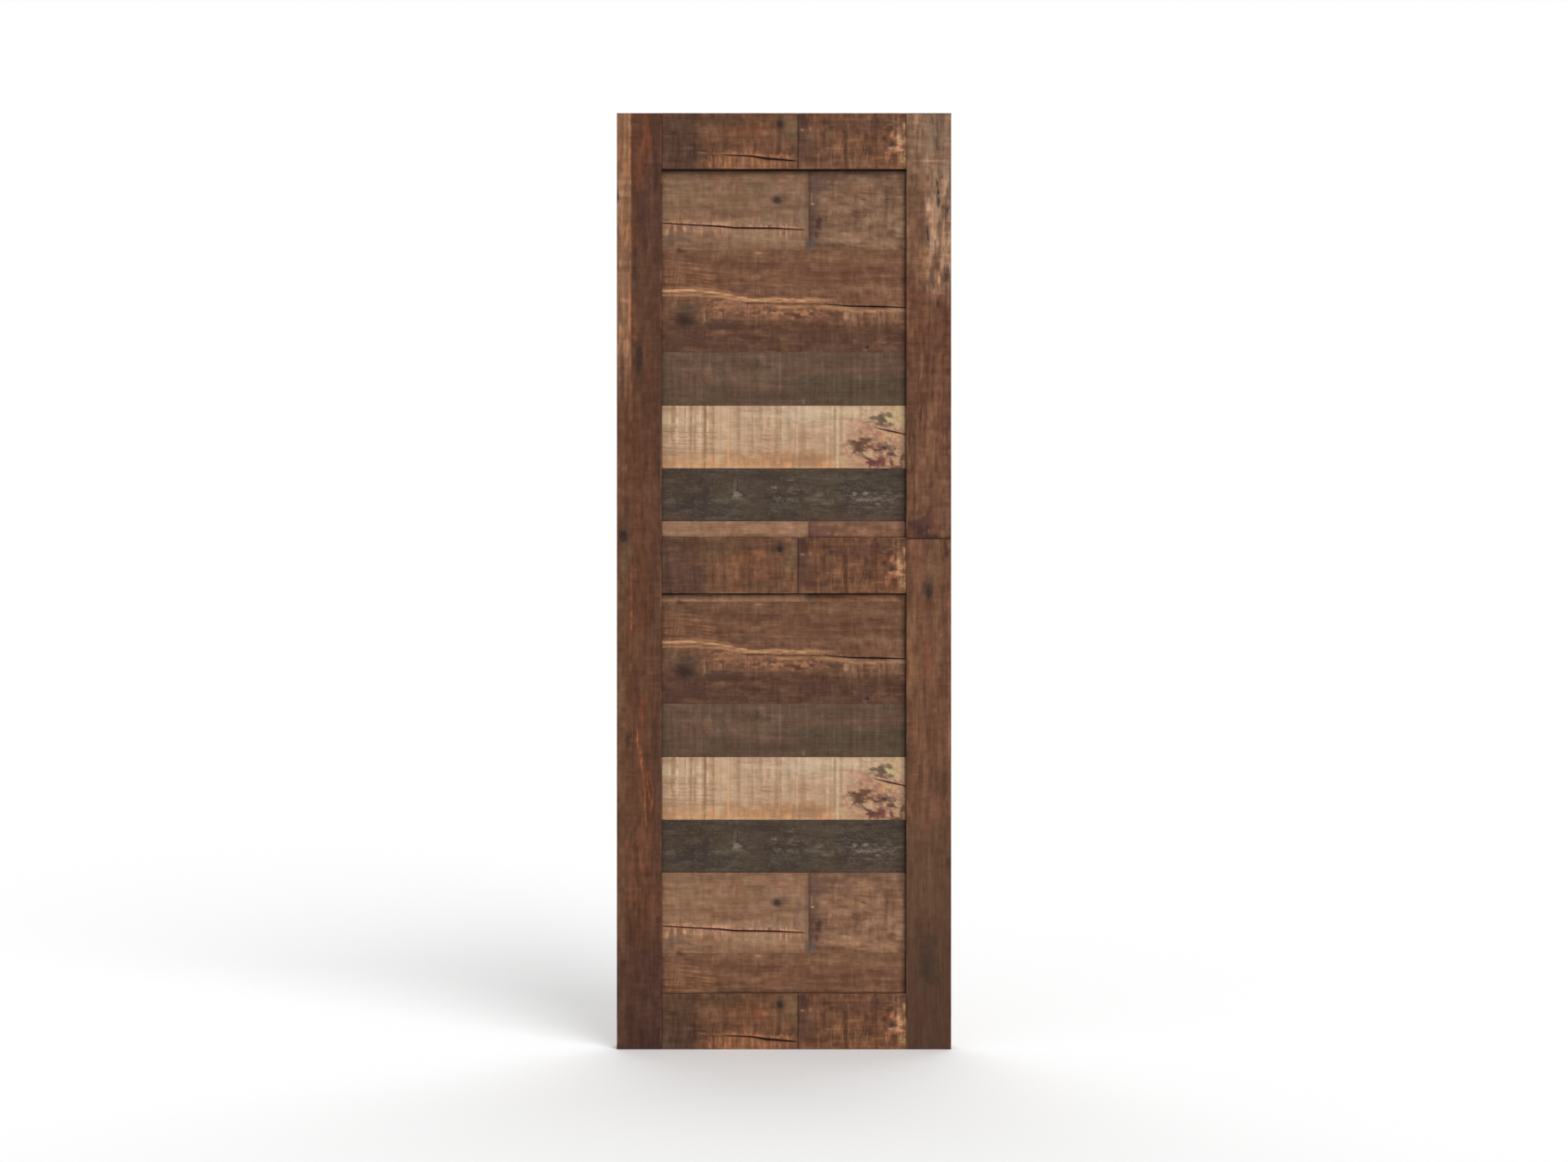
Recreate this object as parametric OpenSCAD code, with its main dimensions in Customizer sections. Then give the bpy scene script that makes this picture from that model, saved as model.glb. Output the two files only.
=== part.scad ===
// Weathered planked door leaf
//
// A barn style door: one layer of tongue and groove planks laid level, held between a front
// frame and a back frame of flat boards (two stiles and three rails on each side). The front
// frame is pieced together from short reclaimed boards. Screws driven from the back clamp
// the three layers together, so none shows on the front.
//
// Units are millimetres. The origin is the middle of the bottom edge, Z is up, the front
// of the door faces -Y and X runs to the right as seen from the front.

/* [Door] */
// Overall width of the leaf
door_width = 762; // [640:1:920]
// Overall height of the leaf
door_height = 2134; // [2000:1:2570]

/* [Frame boards] */
// Thickness of the front and back frame boards
frame_thick = 12.7; // [9:0.1:18]
// Width of the stiles (the upright boards)
stile_width = 102; // [84:1:124]
// Width of the rails (the level boards)
rail_width = 127; // [100:1:154]
// Height of the middle rail's centre line above the bottom edge
middle_rail_z = 1103; // [900:1:1300]
// Offset of the butt joint in each front rail from the centre line
rail_joint_x = 31.6; // [-60:0.1:60]
// Height of the butt joint in the right front stile
stile_joint_z = 1163.5; // [1000:0.5:1350]
// Gap left at a joint between two frame boards
frame_gap = 0.4; // [0.1:0.1:1]
// Wear on the long outer corners of every board, as a small bevel
frame_wear = 1.2; // [0.4:0.1:2.5]

/* [Planks] */
// Thickness of the planks
plank_thick = 19.05; // [15:0.05:28]
// Height of each row pieced from two short planks
split_face = 184; // [150:1:221]
// Height of each brown plank
brown_face = 232.5; // [190:0.5:280]
// Height of each grey brown plank
grey_face = 122.5; // [100:0.5:148]
// Height of each pale plank
pale_face = 143; // [118:1:172]
// Height of each charcoal plank
charcoal_face = 121; // [100:1:146]
// Offset of the butt joint in the pieced rows from the centre line
split_joint_x = 56; // [-60:0.5:60]
// Drying gap seen between two neighbouring planks
plank_gap = 0.6; // [0.2:0.1:1]
// Gap where the short planks of a pieced row butt
plank_end_gap = 0.1; // [0.05:0.05:0.5]
// Wear on the long face corners of every plank, as a small bevel
plank_wear = 1.4; // [0.4:0.1:2.4]

/* [Tongue and groove] */
// Thickness of the tongue
tongue_thick = 6; // [4:0.1:7.2]
// Length of the tongue above the plank's shoulder
tongue_length = 8; // [5:0.1:10]
// Play between the tongue and each side of its groove
tongue_play = 0.2; // [0.1:0.05:0.5]
// Space left above the tongue at the bottom of its groove
tongue_end_play = 0.7; // [0.3:0.1:1.5]

/* [Screws] */
// Diameter of the screw's shank
screw_d = 4.2; // [3:0.1:5.2]
// Length of the screw, head included
screw_length = 38; // [33:0.5:40]
// Diameter of the countersunk head
screw_head_d = 8.4; // [6.5:0.1:10]
// Depth of the screw's head below the back face
screw_sink = 0.4; // [0.2:0.1:1]
// Width of the slot in the head
screw_slot = 1.2; // [0.8:0.1:1.6]
// Play around the shank in the back board and the plank
screw_play = 0.3; // [0.1:0.05:0.6]
// Play around the shank in the front board's pilot hole
pilot_play = 0.05; // [0.03:0.01:0.2]
// Stagger of neighbouring screws to either side of a stile's middle
screw_stagger = 20; // [0:1:26]

/* [Cracks] */
// Widest opening of a crack at the face
crack_width = 2.4; // [1:0.1:4]
// Depth of the cracks in the planks
crack_depth = 5; // [2:0.5:8]
// Depth of the cracks in the frame boards
frame_crack_depth = 4; // [2:0.5:6]

/* [Hidden] */

// Smoothness of the screws and their holes
$fn = 48;

// Half widths and the inner edges of the stiles
half_width = door_width / 2;
inner_x = half_width - stile_width;

// Depths of the layers, from the front face to the back face
plank_front = -plank_thick / 2;
plank_back = plank_thick / 2;
front_face = plank_front - frame_thick;
back_face = plank_back + frame_thick;

// Plank rows from the top down. The first ends level with the top rail, and the last is
// ripped to what is left of the leaf's height.
row_faces = [
    rail_width, split_face, brown_face, grey_face, pale_face, charcoal_face,
    split_face, brown_face, grey_face, pale_face, charcoal_face, split_face
];
row_count = len(row_faces) + 1;
function total(list, n) = n == 0 ? 0 : list[n - 1] + total(list, n - 1);
// Height of the line above row n, counted from 1 at the top
function row_top(n) = n > row_count ? 0 : door_height - total(row_faces, n - 1);

// The groove takes the neighbour's tongue with its named play
groove_thick = tongue_thick + 2 * tongue_play;
groove_depth = tongue_length - plank_gap + tongue_end_play;
tongue_nose = tongue_thick / 6;

// Lower edges of the three rails
rail_z = [door_height - rail_width, middle_rail_z - rail_width / 2, 0];

// Screw sizes that follow from the named ones
screw_r = screw_d / 2;
head_r = screw_head_d / 2;
head_cone = head_r - screw_r;
head_rim = 0.4;
slot_depth = 1.3;
point_length = 5;
pilot_spare = 1;
pilot_end = back_face - screw_sink - screw_length - pilot_spare;

// How far a cut runs past the face that it opens
cut = 1;
// How far a plank's tongue, or a screw set beside it, can reach past its row
row_reach = tongue_length + screw_d;

// Places of the screws, as shares of a row's drop, a rail board's length and its width
row_places = [0.3, 0.7];
rail_places = [0.18, 0.82];
rail_rows = [0.26, 0.74];

// Screws up the stiles: two to a row, staggered
stile_screws = [
    for (side = [-1, 1], n = [1 : row_count], k = [0, 1])
        let (
            top = row_top(n),
            drop = top - row_top(n + 1),
            mid_x = side * (half_width - stile_width / 2)
        )
        [mid_x + (2 * k - 1) * side * screw_stagger, top - drop * row_places[k]]
];

// Screws along the rails: four to each front rail board
rail_spans = [
    [-inner_x, rail_joint_x],
    [rail_joint_x, inner_x]
];
rail_screws = [
    for (z = rail_z, span = rail_spans, u = rail_places, v = rail_rows)
        [span[0] + u * (span[1] - span[0]), z + v * rail_width]
];

screw_spots = concat(stile_screws, rail_screws);

// The spots that fall in a box on the door's face
function spots_in(x0, x1, z0, z1) = [
    for (p = screw_spots)
        if (p[0] > x0 && p[0] < x1 && p[1] > z0 && p[1] < z1) p
];

// Cracks, as runs of points [x, height above the row's or board's lower edge, half opening].
// The sides of a crack close to nothing at its ends.
split_crack = [
    [-inner_x - 6, 0.342, 0.2], [-206, 0.316, 0.6], [-150, 0.3, 0.9], [-112, 0.28, 1],
    [-20, 0.274, 0.9], [split_joint_x - 6, 0.255, 0.35]
];
brown_crack = [
    [90, 0.474, 0.12], [150, 0.452, 0.75], [220, 0.446, 1], [inner_x + 8, 0.438, 0.3]
];
pale_crack = [[206, 0.655, 0.1], [240, 0.6, 0.8], [inner_x + 6, 0.53, 0.35]];
rail_crack = [
    [-143, 0.256, 0.1], [-73, 0.226, 0.7], [-40, 0.183, 1], [-8, 0.165, 0.9],
    [rail_joint_x - 3, 0.14, 0.5]
];

// --- Building blocks -------------------------------------------------------------------

// Sweeps a [y, z] outline along X
module sweep_x(x0, x1) {
    translate([x0, 0, 0])
        rotate([90, 0, 90])
            linear_extrude(x1 - x0)
                children();
}

// Outline of a plank with its tongue up and its groove down
module plank_outline(z0, z1, tongue, groove) {
    low = z0 + (groove ? plank_gap / 2 : 0);
    high = z1 - (tongue ? plank_gap / 2 : 0);
    f = plank_front;
    b = plank_back;
    w = plank_wear;
    t = tongue_thick / 2;
    g = groove_thick / 2;
    tip = high + tongue_length;
    up = tongue ? [
        [-t, high], [-t, tip - tongue_nose], [-t + tongue_nose, tip],
        [t - tongue_nose, tip], [t, tip - tongue_nose], [t, high]
    ] : [];
    down = groove ? [
        [g, low], [g, low + groove_depth], [-g, low + groove_depth], [-g, low]
    ] : [];
    polygon(concat(
        [[f, low + w], [f, high - w], [f + w, high]],
        up,
        [[b - w, high], [b, high - w], [b, low + w], [b - w, low]],
        down,
        [[f + w, low]]
    ));
}

// Clearance holes for the screws through a plank
module plank_holes(spots) {
    for (p = spots)
        translate([p[0], plank_back + cut, p[1]])
            rotate([90, 0, 0])
                cylinder(h = plank_thick + 2 * cut, r = screw_r + screw_play);
}

// A crack cut into a front face at depth y; its heights are shares of the given height
module crack_cut(run, y, deep, z0, tall) {
    w = crack_width / 2;
    last = len(run) - 1;
    translate([0, y + deep, 0])
        rotate([90, 0, 0])
            linear_extrude(deep + cut)
                polygon(concat(
                    [for (i = [0 : last]) [run[i][0], z0 + run[i][1] * tall + run[i][2] * w]],
                    [for (i = [last : -1 : 0]) [run[i][0], z0 + run[i][1] * tall - run[i][2] * w]]
                ));
}

// A plank of row n between two upright lines
module row_plank(n, x0, x1) {
    z1 = row_top(n);
    z0 = row_top(n + 1);
    tongue = n > 1;
    groove = n < row_count;
    difference() {
        sweep_x(x0, x1)
            plank_outline(z0, z1, tongue, groove);
        plank_holes(spots_in(x0, x1, z0 - row_reach, z1 + row_reach));
        children();
    }
}

module full_plank(n) {
    row_plank(n, -half_width, half_width)
        children();
}

// The short planks of a pieced row
module split_left(n) {
    z0 = row_top(n + 1);
    row_plank(n, -half_width, split_joint_x - plank_end_gap / 2)
        crack_cut(split_crack, plank_front, crack_depth, z0, row_top(n) - z0);
}

module split_right(n) {
    row_plank(n, split_joint_x + plank_end_gap / 2, half_width);
}

// Cracked planks that come back in each run of rows
module brown_plank(n) {
    z0 = row_top(n + 1);
    full_plank(n)
        crack_cut(brown_crack, plank_front, crack_depth, z0, row_top(n) - z0);
}

module pale_plank(n) {
    z0 = row_top(n + 1);
    full_plank(n)
        crack_cut(pale_crack, plank_front, crack_depth, z0, row_top(n) - z0);
}

// Blind pilot holes in the back of a front board
module pilot_holes(spots) {
    for (p = spots)
        translate([p[0], plank_front + cut, p[1]])
            rotate([90, 0, 0])
                cylinder(h = plank_front + cut - pilot_end, r = screw_r + pilot_play);
}

// Countersunk holes through a back board
module sunk_holes(spots) {
    for (p = spots)
        translate([p[0], back_face, p[1]])
            rotate([-90, 0, 0])
                rotate_extrude()
                    polygon([
                        [0, cut],
                        [head_r + pilot_play, cut],
                        [head_r + pilot_play, -screw_sink - head_rim],
                        [screw_r + screw_play, -screw_sink - head_rim - head_cone
                            + (screw_play - pilot_play)],
                        [screw_r + screw_play, -frame_thick - cut],
                        [0, -frame_thick - cut]
                    ]);
}

// Outline of a board lying against the planks from depth y0 (inner) to y1 (outer face)
function board_outline(a0, a1, y0, y1) =
    let (s = y1 > y0 ? 1 : -1, w = frame_wear)
    [[a0, y0], [a0, y1 - s * w], [a0 + w, y1], [a1 - w, y1], [a1, y1 - s * w], [a1, y0]];

// An upright frame board
module upright_board(x0, x1, z0, z1, y0, y1) {
    translate([0, 0, z0])
        linear_extrude(z1 - z0)
            polygon(board_outline(x0, x1, y0, y1));
}

// A level frame board
module level_board(x0, x1, z0, z1, y0, y1) {
    sweep_x(x0, x1)
        polygon([for (p = board_outline(z0, z1, y0, y1)) [p[1], p[0]]]);
}

module front_upright(x0, x1, z0, z1) {
    difference() {
        upright_board(x0, x1, z0, z1, plank_front, front_face);
        pilot_holes(spots_in(x0, x1, z0, z1));
    }
}

module front_level(x0, x1, z0) {
    difference() {
        level_board(x0, x1, z0, z0 + rail_width, plank_front, front_face);
        pilot_holes(spots_in(x0, x1, z0, z0 + rail_width));
        children();
    }
}

module back_upright(x0, x1) {
    difference() {
        upright_board(x0, x1, 0, door_height, plank_back, back_face);
        sunk_holes(spots_in(x0, x1, 0, door_height));
    }
}

module back_level(z0) {
    difference() {
        level_board(-inner_x + frame_gap, inner_x - frame_gap, z0, z0 + rail_width,
            plank_back, back_face);
        sunk_holes(spots_in(-inner_x, inner_x, z0, z0 + rail_width));
    }
}

module front_rail_left(z0) {
    front_level(-inner_x + frame_gap, rail_joint_x - frame_gap / 2, z0)
        children();
}

module front_rail_right(z0) {
    front_level(rail_joint_x + frame_gap / 2, inner_x - frame_gap, z0);
}

// A slotted countersunk wood screw, its head's top at the origin and its point down -Z
module wood_screw(turn) {
    difference() {
        rotate_extrude()
            polygon([
                [0, 0],
                [head_r, 0],
                [head_r, -head_rim],
                [screw_r, -head_rim - head_cone],
                [screw_r, -screw_length + point_length],
                [0, -screw_length]
            ]);
        rotate([0, 0, turn])
            translate([-head_r - cut, -screw_slot / 2, -slot_depth])
                cube([2 * (head_r + cut), screw_slot, slot_depth + cut]);
    }
}

// --- Planks, from the top down ---------------------------------------------------------

module plank_01() color([0.32, 0.27, 0.23]) full_plank(1);
module plank_02_left() color([0.54, 0.41, 0.32]) split_left(2);
module plank_02_right() color([0.50, 0.38, 0.30]) split_right(2);
module plank_03() color([0.44, 0.32, 0.24]) brown_plank(3);
module plank_04() color([0.38, 0.30, 0.24]) full_plank(4);
module plank_05() color([0.72, 0.59, 0.47]) pale_plank(5);
module plank_06() color([0.32, 0.27, 0.23]) full_plank(6);
module plank_07_left() color([0.54, 0.41, 0.32]) split_left(7);
module plank_07_right() color([0.50, 0.38, 0.30]) split_right(7);
module plank_08() color([0.44, 0.32, 0.24]) brown_plank(8);
module plank_09() color([0.38, 0.30, 0.24]) full_plank(9);
module plank_10() color([0.72, 0.59, 0.47]) pale_plank(10);
module plank_11() color([0.32, 0.27, 0.23]) full_plank(11);
module plank_12_left() color([0.54, 0.41, 0.32]) split_left(12);
module plank_12_right() color([0.50, 0.38, 0.30]) split_right(12);
module plank_13() color([0.45, 0.32, 0.24]) full_plank(13);

// --- Front frame -----------------------------------------------------------------------

module front_stile_left() color([0.40, 0.27, 0.21])
    front_upright(-half_width, -inner_x, 0, door_height);
module front_stile_right_upper() color([0.43, 0.29, 0.22])
    front_upright(inner_x, half_width, stile_joint_z + frame_gap / 2, door_height);
module front_stile_right_lower() color([0.43, 0.30, 0.23])
    front_upright(inner_x, half_width, 0, stile_joint_z - frame_gap / 2);
module front_rail_top_left() color([0.42, 0.30, 0.23])
    front_rail_left(rail_z[0])
        crack_cut(rail_crack, front_face, frame_crack_depth, rail_z[0], rail_width);
module front_rail_top_right() color([0.43, 0.30, 0.23]) front_rail_right(rail_z[0]);
module front_rail_middle_left() color([0.42, 0.30, 0.23]) front_rail_left(rail_z[1]);
module front_rail_middle_right() color([0.43, 0.30, 0.23]) front_rail_right(rail_z[1]);
module front_rail_bottom_left() color([0.42, 0.29, 0.22])
    front_rail_left(rail_z[2])
        crack_cut(rail_crack, front_face, frame_crack_depth, rail_z[2], rail_width);
module front_rail_bottom_right() color([0.43, 0.30, 0.22]) front_rail_right(rail_z[2]);

// --- Back frame ------------------------------------------------------------------------

module back_stile_left() color([0.36, 0.27, 0.21]) back_upright(-half_width, -inner_x);
module back_stile_right() color([0.36, 0.27, 0.21]) back_upright(inner_x, half_width);
module back_rail_top() color([0.37, 0.28, 0.22]) back_level(rail_z[0]);
module back_rail_middle() color([0.37, 0.28, 0.22]) back_level(rail_z[1]);
module back_rail_bottom() color([0.37, 0.28, 0.22]) back_level(rail_z[2]);

// --- Screws ----------------------------------------------------------------------------

module screws() color([0.30, 0.24, 0.20])
    for (i = [0 : len(screw_spots) - 1])
        translate([screw_spots[i][0], back_face - screw_sink, screw_spots[i][1]])
            rotate([-90, 0, 0])
                wood_screw((i * 47) % 180);

plank_01();
plank_02_left();
plank_02_right();
plank_03();
plank_04();
plank_05();
plank_06();
plank_07_left();
plank_07_right();
plank_08();
plank_09();
plank_10();
plank_11();
plank_12_left();
plank_12_right();
plank_13();
front_stile_left();
front_stile_right_upper();
front_stile_right_lower();
front_rail_top_left();
front_rail_top_right();
front_rail_middle_left();
front_rail_middle_right();
front_rail_bottom_left();
front_rail_bottom_right();
back_stile_left();
back_stile_right();
back_rail_top();
back_rail_middle();
back_rail_bottom();
screws();
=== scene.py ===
"""Weathered planked door leaf: the look of its boards, its screws, and the studio round it.

Lengths in the paint and wear of a board are in millimetres, in the board's own frame:
"along" runs with the grain and "across" runs over its face. A level board's along is X
from the leaf's middle, and its across is measured down from its face's top edge. An
upright board's along is its height above the floor, and its across runs to the right.
Tones are display colours from 0 to 255. Everything that reaches Blender is in metres.
"""
import math

import bmesh
import bpy
import numpy as np
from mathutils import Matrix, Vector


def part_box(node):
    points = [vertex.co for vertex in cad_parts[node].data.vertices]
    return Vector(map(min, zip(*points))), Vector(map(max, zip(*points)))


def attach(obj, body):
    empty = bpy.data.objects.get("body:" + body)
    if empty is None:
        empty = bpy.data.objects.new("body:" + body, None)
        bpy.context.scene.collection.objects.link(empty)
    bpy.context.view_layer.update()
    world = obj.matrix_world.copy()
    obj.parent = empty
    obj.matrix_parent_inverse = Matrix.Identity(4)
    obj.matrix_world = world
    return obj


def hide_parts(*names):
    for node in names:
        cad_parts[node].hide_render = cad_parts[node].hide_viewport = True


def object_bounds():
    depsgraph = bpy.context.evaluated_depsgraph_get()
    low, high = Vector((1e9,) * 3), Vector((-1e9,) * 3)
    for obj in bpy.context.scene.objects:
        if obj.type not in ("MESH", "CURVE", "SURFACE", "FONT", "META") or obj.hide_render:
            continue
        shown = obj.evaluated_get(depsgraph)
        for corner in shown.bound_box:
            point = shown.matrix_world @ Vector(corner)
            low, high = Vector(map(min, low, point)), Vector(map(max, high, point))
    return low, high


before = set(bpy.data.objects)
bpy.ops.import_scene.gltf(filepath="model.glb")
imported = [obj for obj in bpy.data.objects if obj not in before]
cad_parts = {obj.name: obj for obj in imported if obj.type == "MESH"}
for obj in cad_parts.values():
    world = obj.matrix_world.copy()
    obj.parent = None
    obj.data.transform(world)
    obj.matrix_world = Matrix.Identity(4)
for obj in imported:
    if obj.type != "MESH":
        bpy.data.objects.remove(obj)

CAD_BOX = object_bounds()
MM = 0.001

# --- Sizes shared with the construction, in millimetres ----------------------------------

TONGUE_LENGTH = 8.0
TONGUE_THICK = 6.0
TONGUE_NOSE = 1.0
GROOVE_DEPTH = 8.1
GROOVE_THICK = 6.4
BACK_ARRIS = 1.0

# Spacing of a board's mesh where it shows, and where another board covers it
ROW_STEP = 2.0
LEAST_ROW_STEP = 0.5
COLUMN_STEP = 3.4
LEAST_COLUMN_STEP = 0.1
BACK_ROW_STEP = 9.0
HIDDEN_STEP = 14.0
COVER_MARGIN = 8.0
CORNER_STEPS = 3

# Depths of the open cracks in the planks and in the front frame, half their width where
# they are fully open, and the share of it that the mesh's rows keep past their ends
PLANK_CRACK_DEPTH = 4.2
FRAME_CRACK_DEPTH = 3.2
CRACK_HALF_WIDTH = 1.2
CRACK_END_SHARE = 0.35

# How far a plank's face has swollen into the gap on either side
SWELL = 0.26

STILE_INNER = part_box("front_rail_top_right")[1].x / MM
LEAF_BOTTOM = CAD_BOX[0][2] / MM
LEAF_TOP = CAD_BOX[1][2] / MM
NEAR_LEAF_END = 1.0
PAST_LEAF_END = 50.0


def rail_heights(rail):
    """Heights of a front rail's two edges, taken past the leaf where the rail ends with it."""
    low, high = (corner.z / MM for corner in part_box(f"front_rail_{rail}_left"))
    low = low if low > LEAF_BOTTOM + NEAR_LEAF_END else low - PAST_LEAF_END
    high = high if high < LEAF_TOP - NEAR_LEAF_END else high + PAST_LEAF_END
    return low, high


# The heights that each front rail covers
RAIL_HEIGHTS = [rail_heights(rail) for rail in ("top", "middle", "bottom")]


# --- Noise and soft masks ----------------------------------------------------------------

def lattice(ix, iy, seed):
    """A repeatable number from 0 to 1 at each whole-numbered point, mixed by large odd
    numbers."""
    n = (ix * 374761393 + iy * 668265263 + seed * 974634777) & 0xFFFFFFFF
    n = ((n ^ (n >> 13)) * 1274126177) & 0xFFFFFFFF
    return ((n ^ (n >> 16)) & 0xFFFF) / 65535.0


def ease(t):
    """A smooth rise from 0 to 1."""
    t = np.clip(t, 0.0, 1.0)
    return t * t * (3.0 - 2.0 * t)


def value_noise(x, y, seed):
    """Smooth noise from 0 to 1 with a cell one unit wide."""
    ix = np.floor(x).astype(np.int64)
    iy = np.floor(y).astype(np.int64)
    sx, sy = ease(x - ix), ease(y - iy)
    low = lattice(ix, iy, seed) * (1 - sx) + lattice(ix + 1, iy, seed) * sx
    high = lattice(ix, iy + 1, seed) * (1 - sx) + lattice(ix + 1, iy + 1, seed) * sx
    return low * (1 - sy) + high * sy


def layered_noise(x, y, seed, layers=3):
    """Noise from about -1 to 1, each layer half as large and half as strong."""
    total, strength, reach = 0.0, 1.0, 0.0
    for k in range(layers):
        total = total + strength * (2 * value_noise(x * 2 ** k, y * 2 ** k, seed + 31 * k) - 1)
        reach += strength
        strength *= 0.5
    return total / reach * 1.5


def between(x, low, high):
    """0 below low and 1 above high, eased between them; high may be the lower one."""
    return ease((x - low) / (high - low))


def linear_colour(colour):
    """A colour written in 0 to 255 display values, as linear light."""
    c = np.asarray(colour, float) / 255.0
    return np.where(c <= 0.04045, c / 12.92, ((np.maximum(c, 0) + 0.055) / 1.055) ** 2.4)


# --- One board's face: its tones, marks and relief ---------------------------------------

class Face:
    """The paint and wear on one face, worked out at every point of its mesh.

    tone    display colour, 0 to 255
    relief  how far the surface is worn below the face, in mm
    saw     strength of the saw marks across the grain
    speck   strength of pale specks
    swirl   how far the grain is pushed aside round knots, in mm
    """

    def __init__(self, along, across, tone, seed):
        self.along, self.across, self.seed = along, across, seed
        self.tone = np.ones(along.shape + (3,)) * np.asarray(tone, float)
        self.relief = np.zeros(along.shape)
        self.saw = np.ones(along.shape)
        self.speck = np.zeros(along.shape)
        self.swirl = np.zeros(along.shape)
        self.draws = 0

    def noise(self, cell_along, cell_across, layers=3):
        """Noise from about -1 to 1 over the face, another pattern at every call."""
        self.draws += 1
        return layered_noise(self.along / cell_along + 17.3 * self.draws,
                             self.across / cell_across - 9.1 * self.draws,
                             self.seed + 101 * self.draws, layers)

    def blend(self, mask, tone):
        """Lays another tone over the face, fully where the mask is 1."""
        mask = np.clip(mask, 0, 1)[..., None]
        self.tone = self.tone + mask * (np.asarray(tone, float) - self.tone)

    def shade(self, amount, cell, red):
        """Lightens and darkens the wood in flecks of a cell's size; red also turns the dark
        ones redder and the light ones paler."""
        lift = self.noise(*cell)[..., None]
        self.tone = self.tone * (1 + amount * lift + red * lift * np.array([-0.4, 0.2, 0.5]))

    def weather(self, amount=1.0):
        """The mixed flecking of old sawn wood, from broad clouds to short fibres and bars."""
        self.shade(0.06 * amount, (150, 22), 0.02)
        self.shade(0.07 * amount, (46, 5.5), 0.03)
        self.shade(0.09 * amount, (17, 9), 0.03)
        self.shade(0.09 * amount * np.clip(self.saw, 0.3, 2)[..., None], (6.5, 26), 0.03)

    def patches(self, *spots):
        """Several patches, each given as its place, size, tone and strength."""
        for at, size, tone, strength in spots:
            self.patch(at, size, tone, strength)

    def mottle(self, tone, strength, cell=(120, 14), low=0.0, high=0.7):
        """Clouds of another tone, long along the grain."""
        self.blend(strength * between(self.noise(*cell), low, high), tone)

    def zone(self, tone, strength, along=None, across=None, ragged=6.0):
        """A tone that grows from the first to the second number given along or across."""
        mask = strength * np.ones(self.along.shape)
        if along:
            wander = ragged * 3 * self.noise(90, 12)
            mask = mask * between(self.along + wander, *along)
        if across:
            wander = ragged * self.noise(140, 30)
            mask = mask * between(self.across + wander, *across)
        self.blend(mask, tone)

    def mound(self, at, size):
        """A soft mound: 1 at its middle, falling away over its size."""
        da, dc = (self.along - at[0]) / size[0], (self.across - at[1]) / size[1]
        return np.exp(-da ** 2) * np.exp(-dc ** 2)

    def patch(self, at, size, tone, strength, ragged=0.4, core=0.3):
        """A soft oval of another tone with a ragged, broken rim."""
        reach = np.hypot((self.along - at[0]) / size[0], (self.across - at[1]) / size[1])
        reach = reach + ragged * self.noise(max(size[0] * 0.7, 8), max(size[1] * 0.5, 5))
        if min(size) > 4:
            reach = reach + 0.6 * ragged * self.noise(9, 6, 2)
        mask = strength * between(reach, 1.0, core)
        self.blend(mask, tone)
        return mask

    def follow(self, path):
        """Across position of a path at each point's along position, and a mask of its ends."""
        along = [p[0] for p in path]
        line = np.interp(self.along, along, [p[1] for p in path])
        ends = (between(self.along, along[0] - 4, along[0] + 14)
                * between(self.along, along[-1] + 4, along[-1] - 14))
        return line, ends

    def streak(self, path, width, tone, strength, wander=1.5, fray=0.5):
        """A frayed streak of another tone along a path of [along, across] points."""
        line, ends = self.follow(path)
        off = self.across - line - wander * (self.noise(70, 400, 2) + 0.6 * self.noise(15, 300, 2))
        edge = width * np.clip(1 + fray * self.noise(26, 9), 0.2, 2.5)
        fibres = 0.72 + 0.4 * self.noise(38, 2.8, 2) + 0.4 * self.noise(9, 7, 2)
        mask = strength * ends * fibres * between(np.abs(off), edge, edge * 0.35)
        self.blend(mask, tone)
        return mask

    def bars(self, along, across, tone, strength, pitch=7.0, keep=0.0, ragged=14.0):
        """Bars across the grain, as a coarse saw leaves. They start sharply at the first
        number of across and run out raggedly at the second. A lower keep leaves more bars."""
        bar = self.noise(pitch, 900, 2)
        reach = across[1] + ragged * self.noise(pitch * 1.3, 900, 1)
        run = (self.across - across[0]) / (reach - across[0])
        fade = between(run, 1.0, 0.3) * between(run, -0.12, 0.02)
        window = between(self.along, along[0], along[0] + 20)
        window = window * between(self.along, along[1], along[1] - 20)
        broken = 0.65 + 0.55 * self.noise(pitch * 1.2, 13, 2)
        mask = strength * between(bar, keep, keep + 0.5) * fade * window * broken
        self.saw = np.maximum(self.saw, 1.6 * strength * fade * window)
        self.blend(mask, tone)
        return mask

    def knot(self, at, size, core, rim, strength=1.0, dent=1.0):
        """A knot: a dark core, a stained rim, a shallow hollow, and the grain bent round it."""
        da = (self.along - at[0]) / size[0]
        dc = (self.across - at[1]) / size[1]
        reach = np.hypot(da, dc) + 0.2 * self.noise(size[0] * 0.6, size[1] * 0.6)
        mottled = 0.88 + 0.25 * self.noise(7, 5, 2)
        self.blend(0.6 * strength * mottled * between(reach, 2.2, 0.8), rim)
        self.blend(strength * mottled * between(reach, 1.25, 0.3), core)
        ring = between(reach, 1.15, 0.95) * between(reach, 0.72, 0.9)
        self.relief += dent * (between(reach, 1.2, 0.3) + 0.35 * ring)
        push = np.exp(-np.abs(da) ** 1.5 / 3.0) * np.exp(-(dc / 3.2) ** 2)
        self.swirl += size[1] * 1.2 * np.sign(dc) * push * between(np.abs(dc), 0.0, 1.0)
        self.saw = self.saw * (1 - 0.7 * between(reach, 1.6, 0.8))

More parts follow.
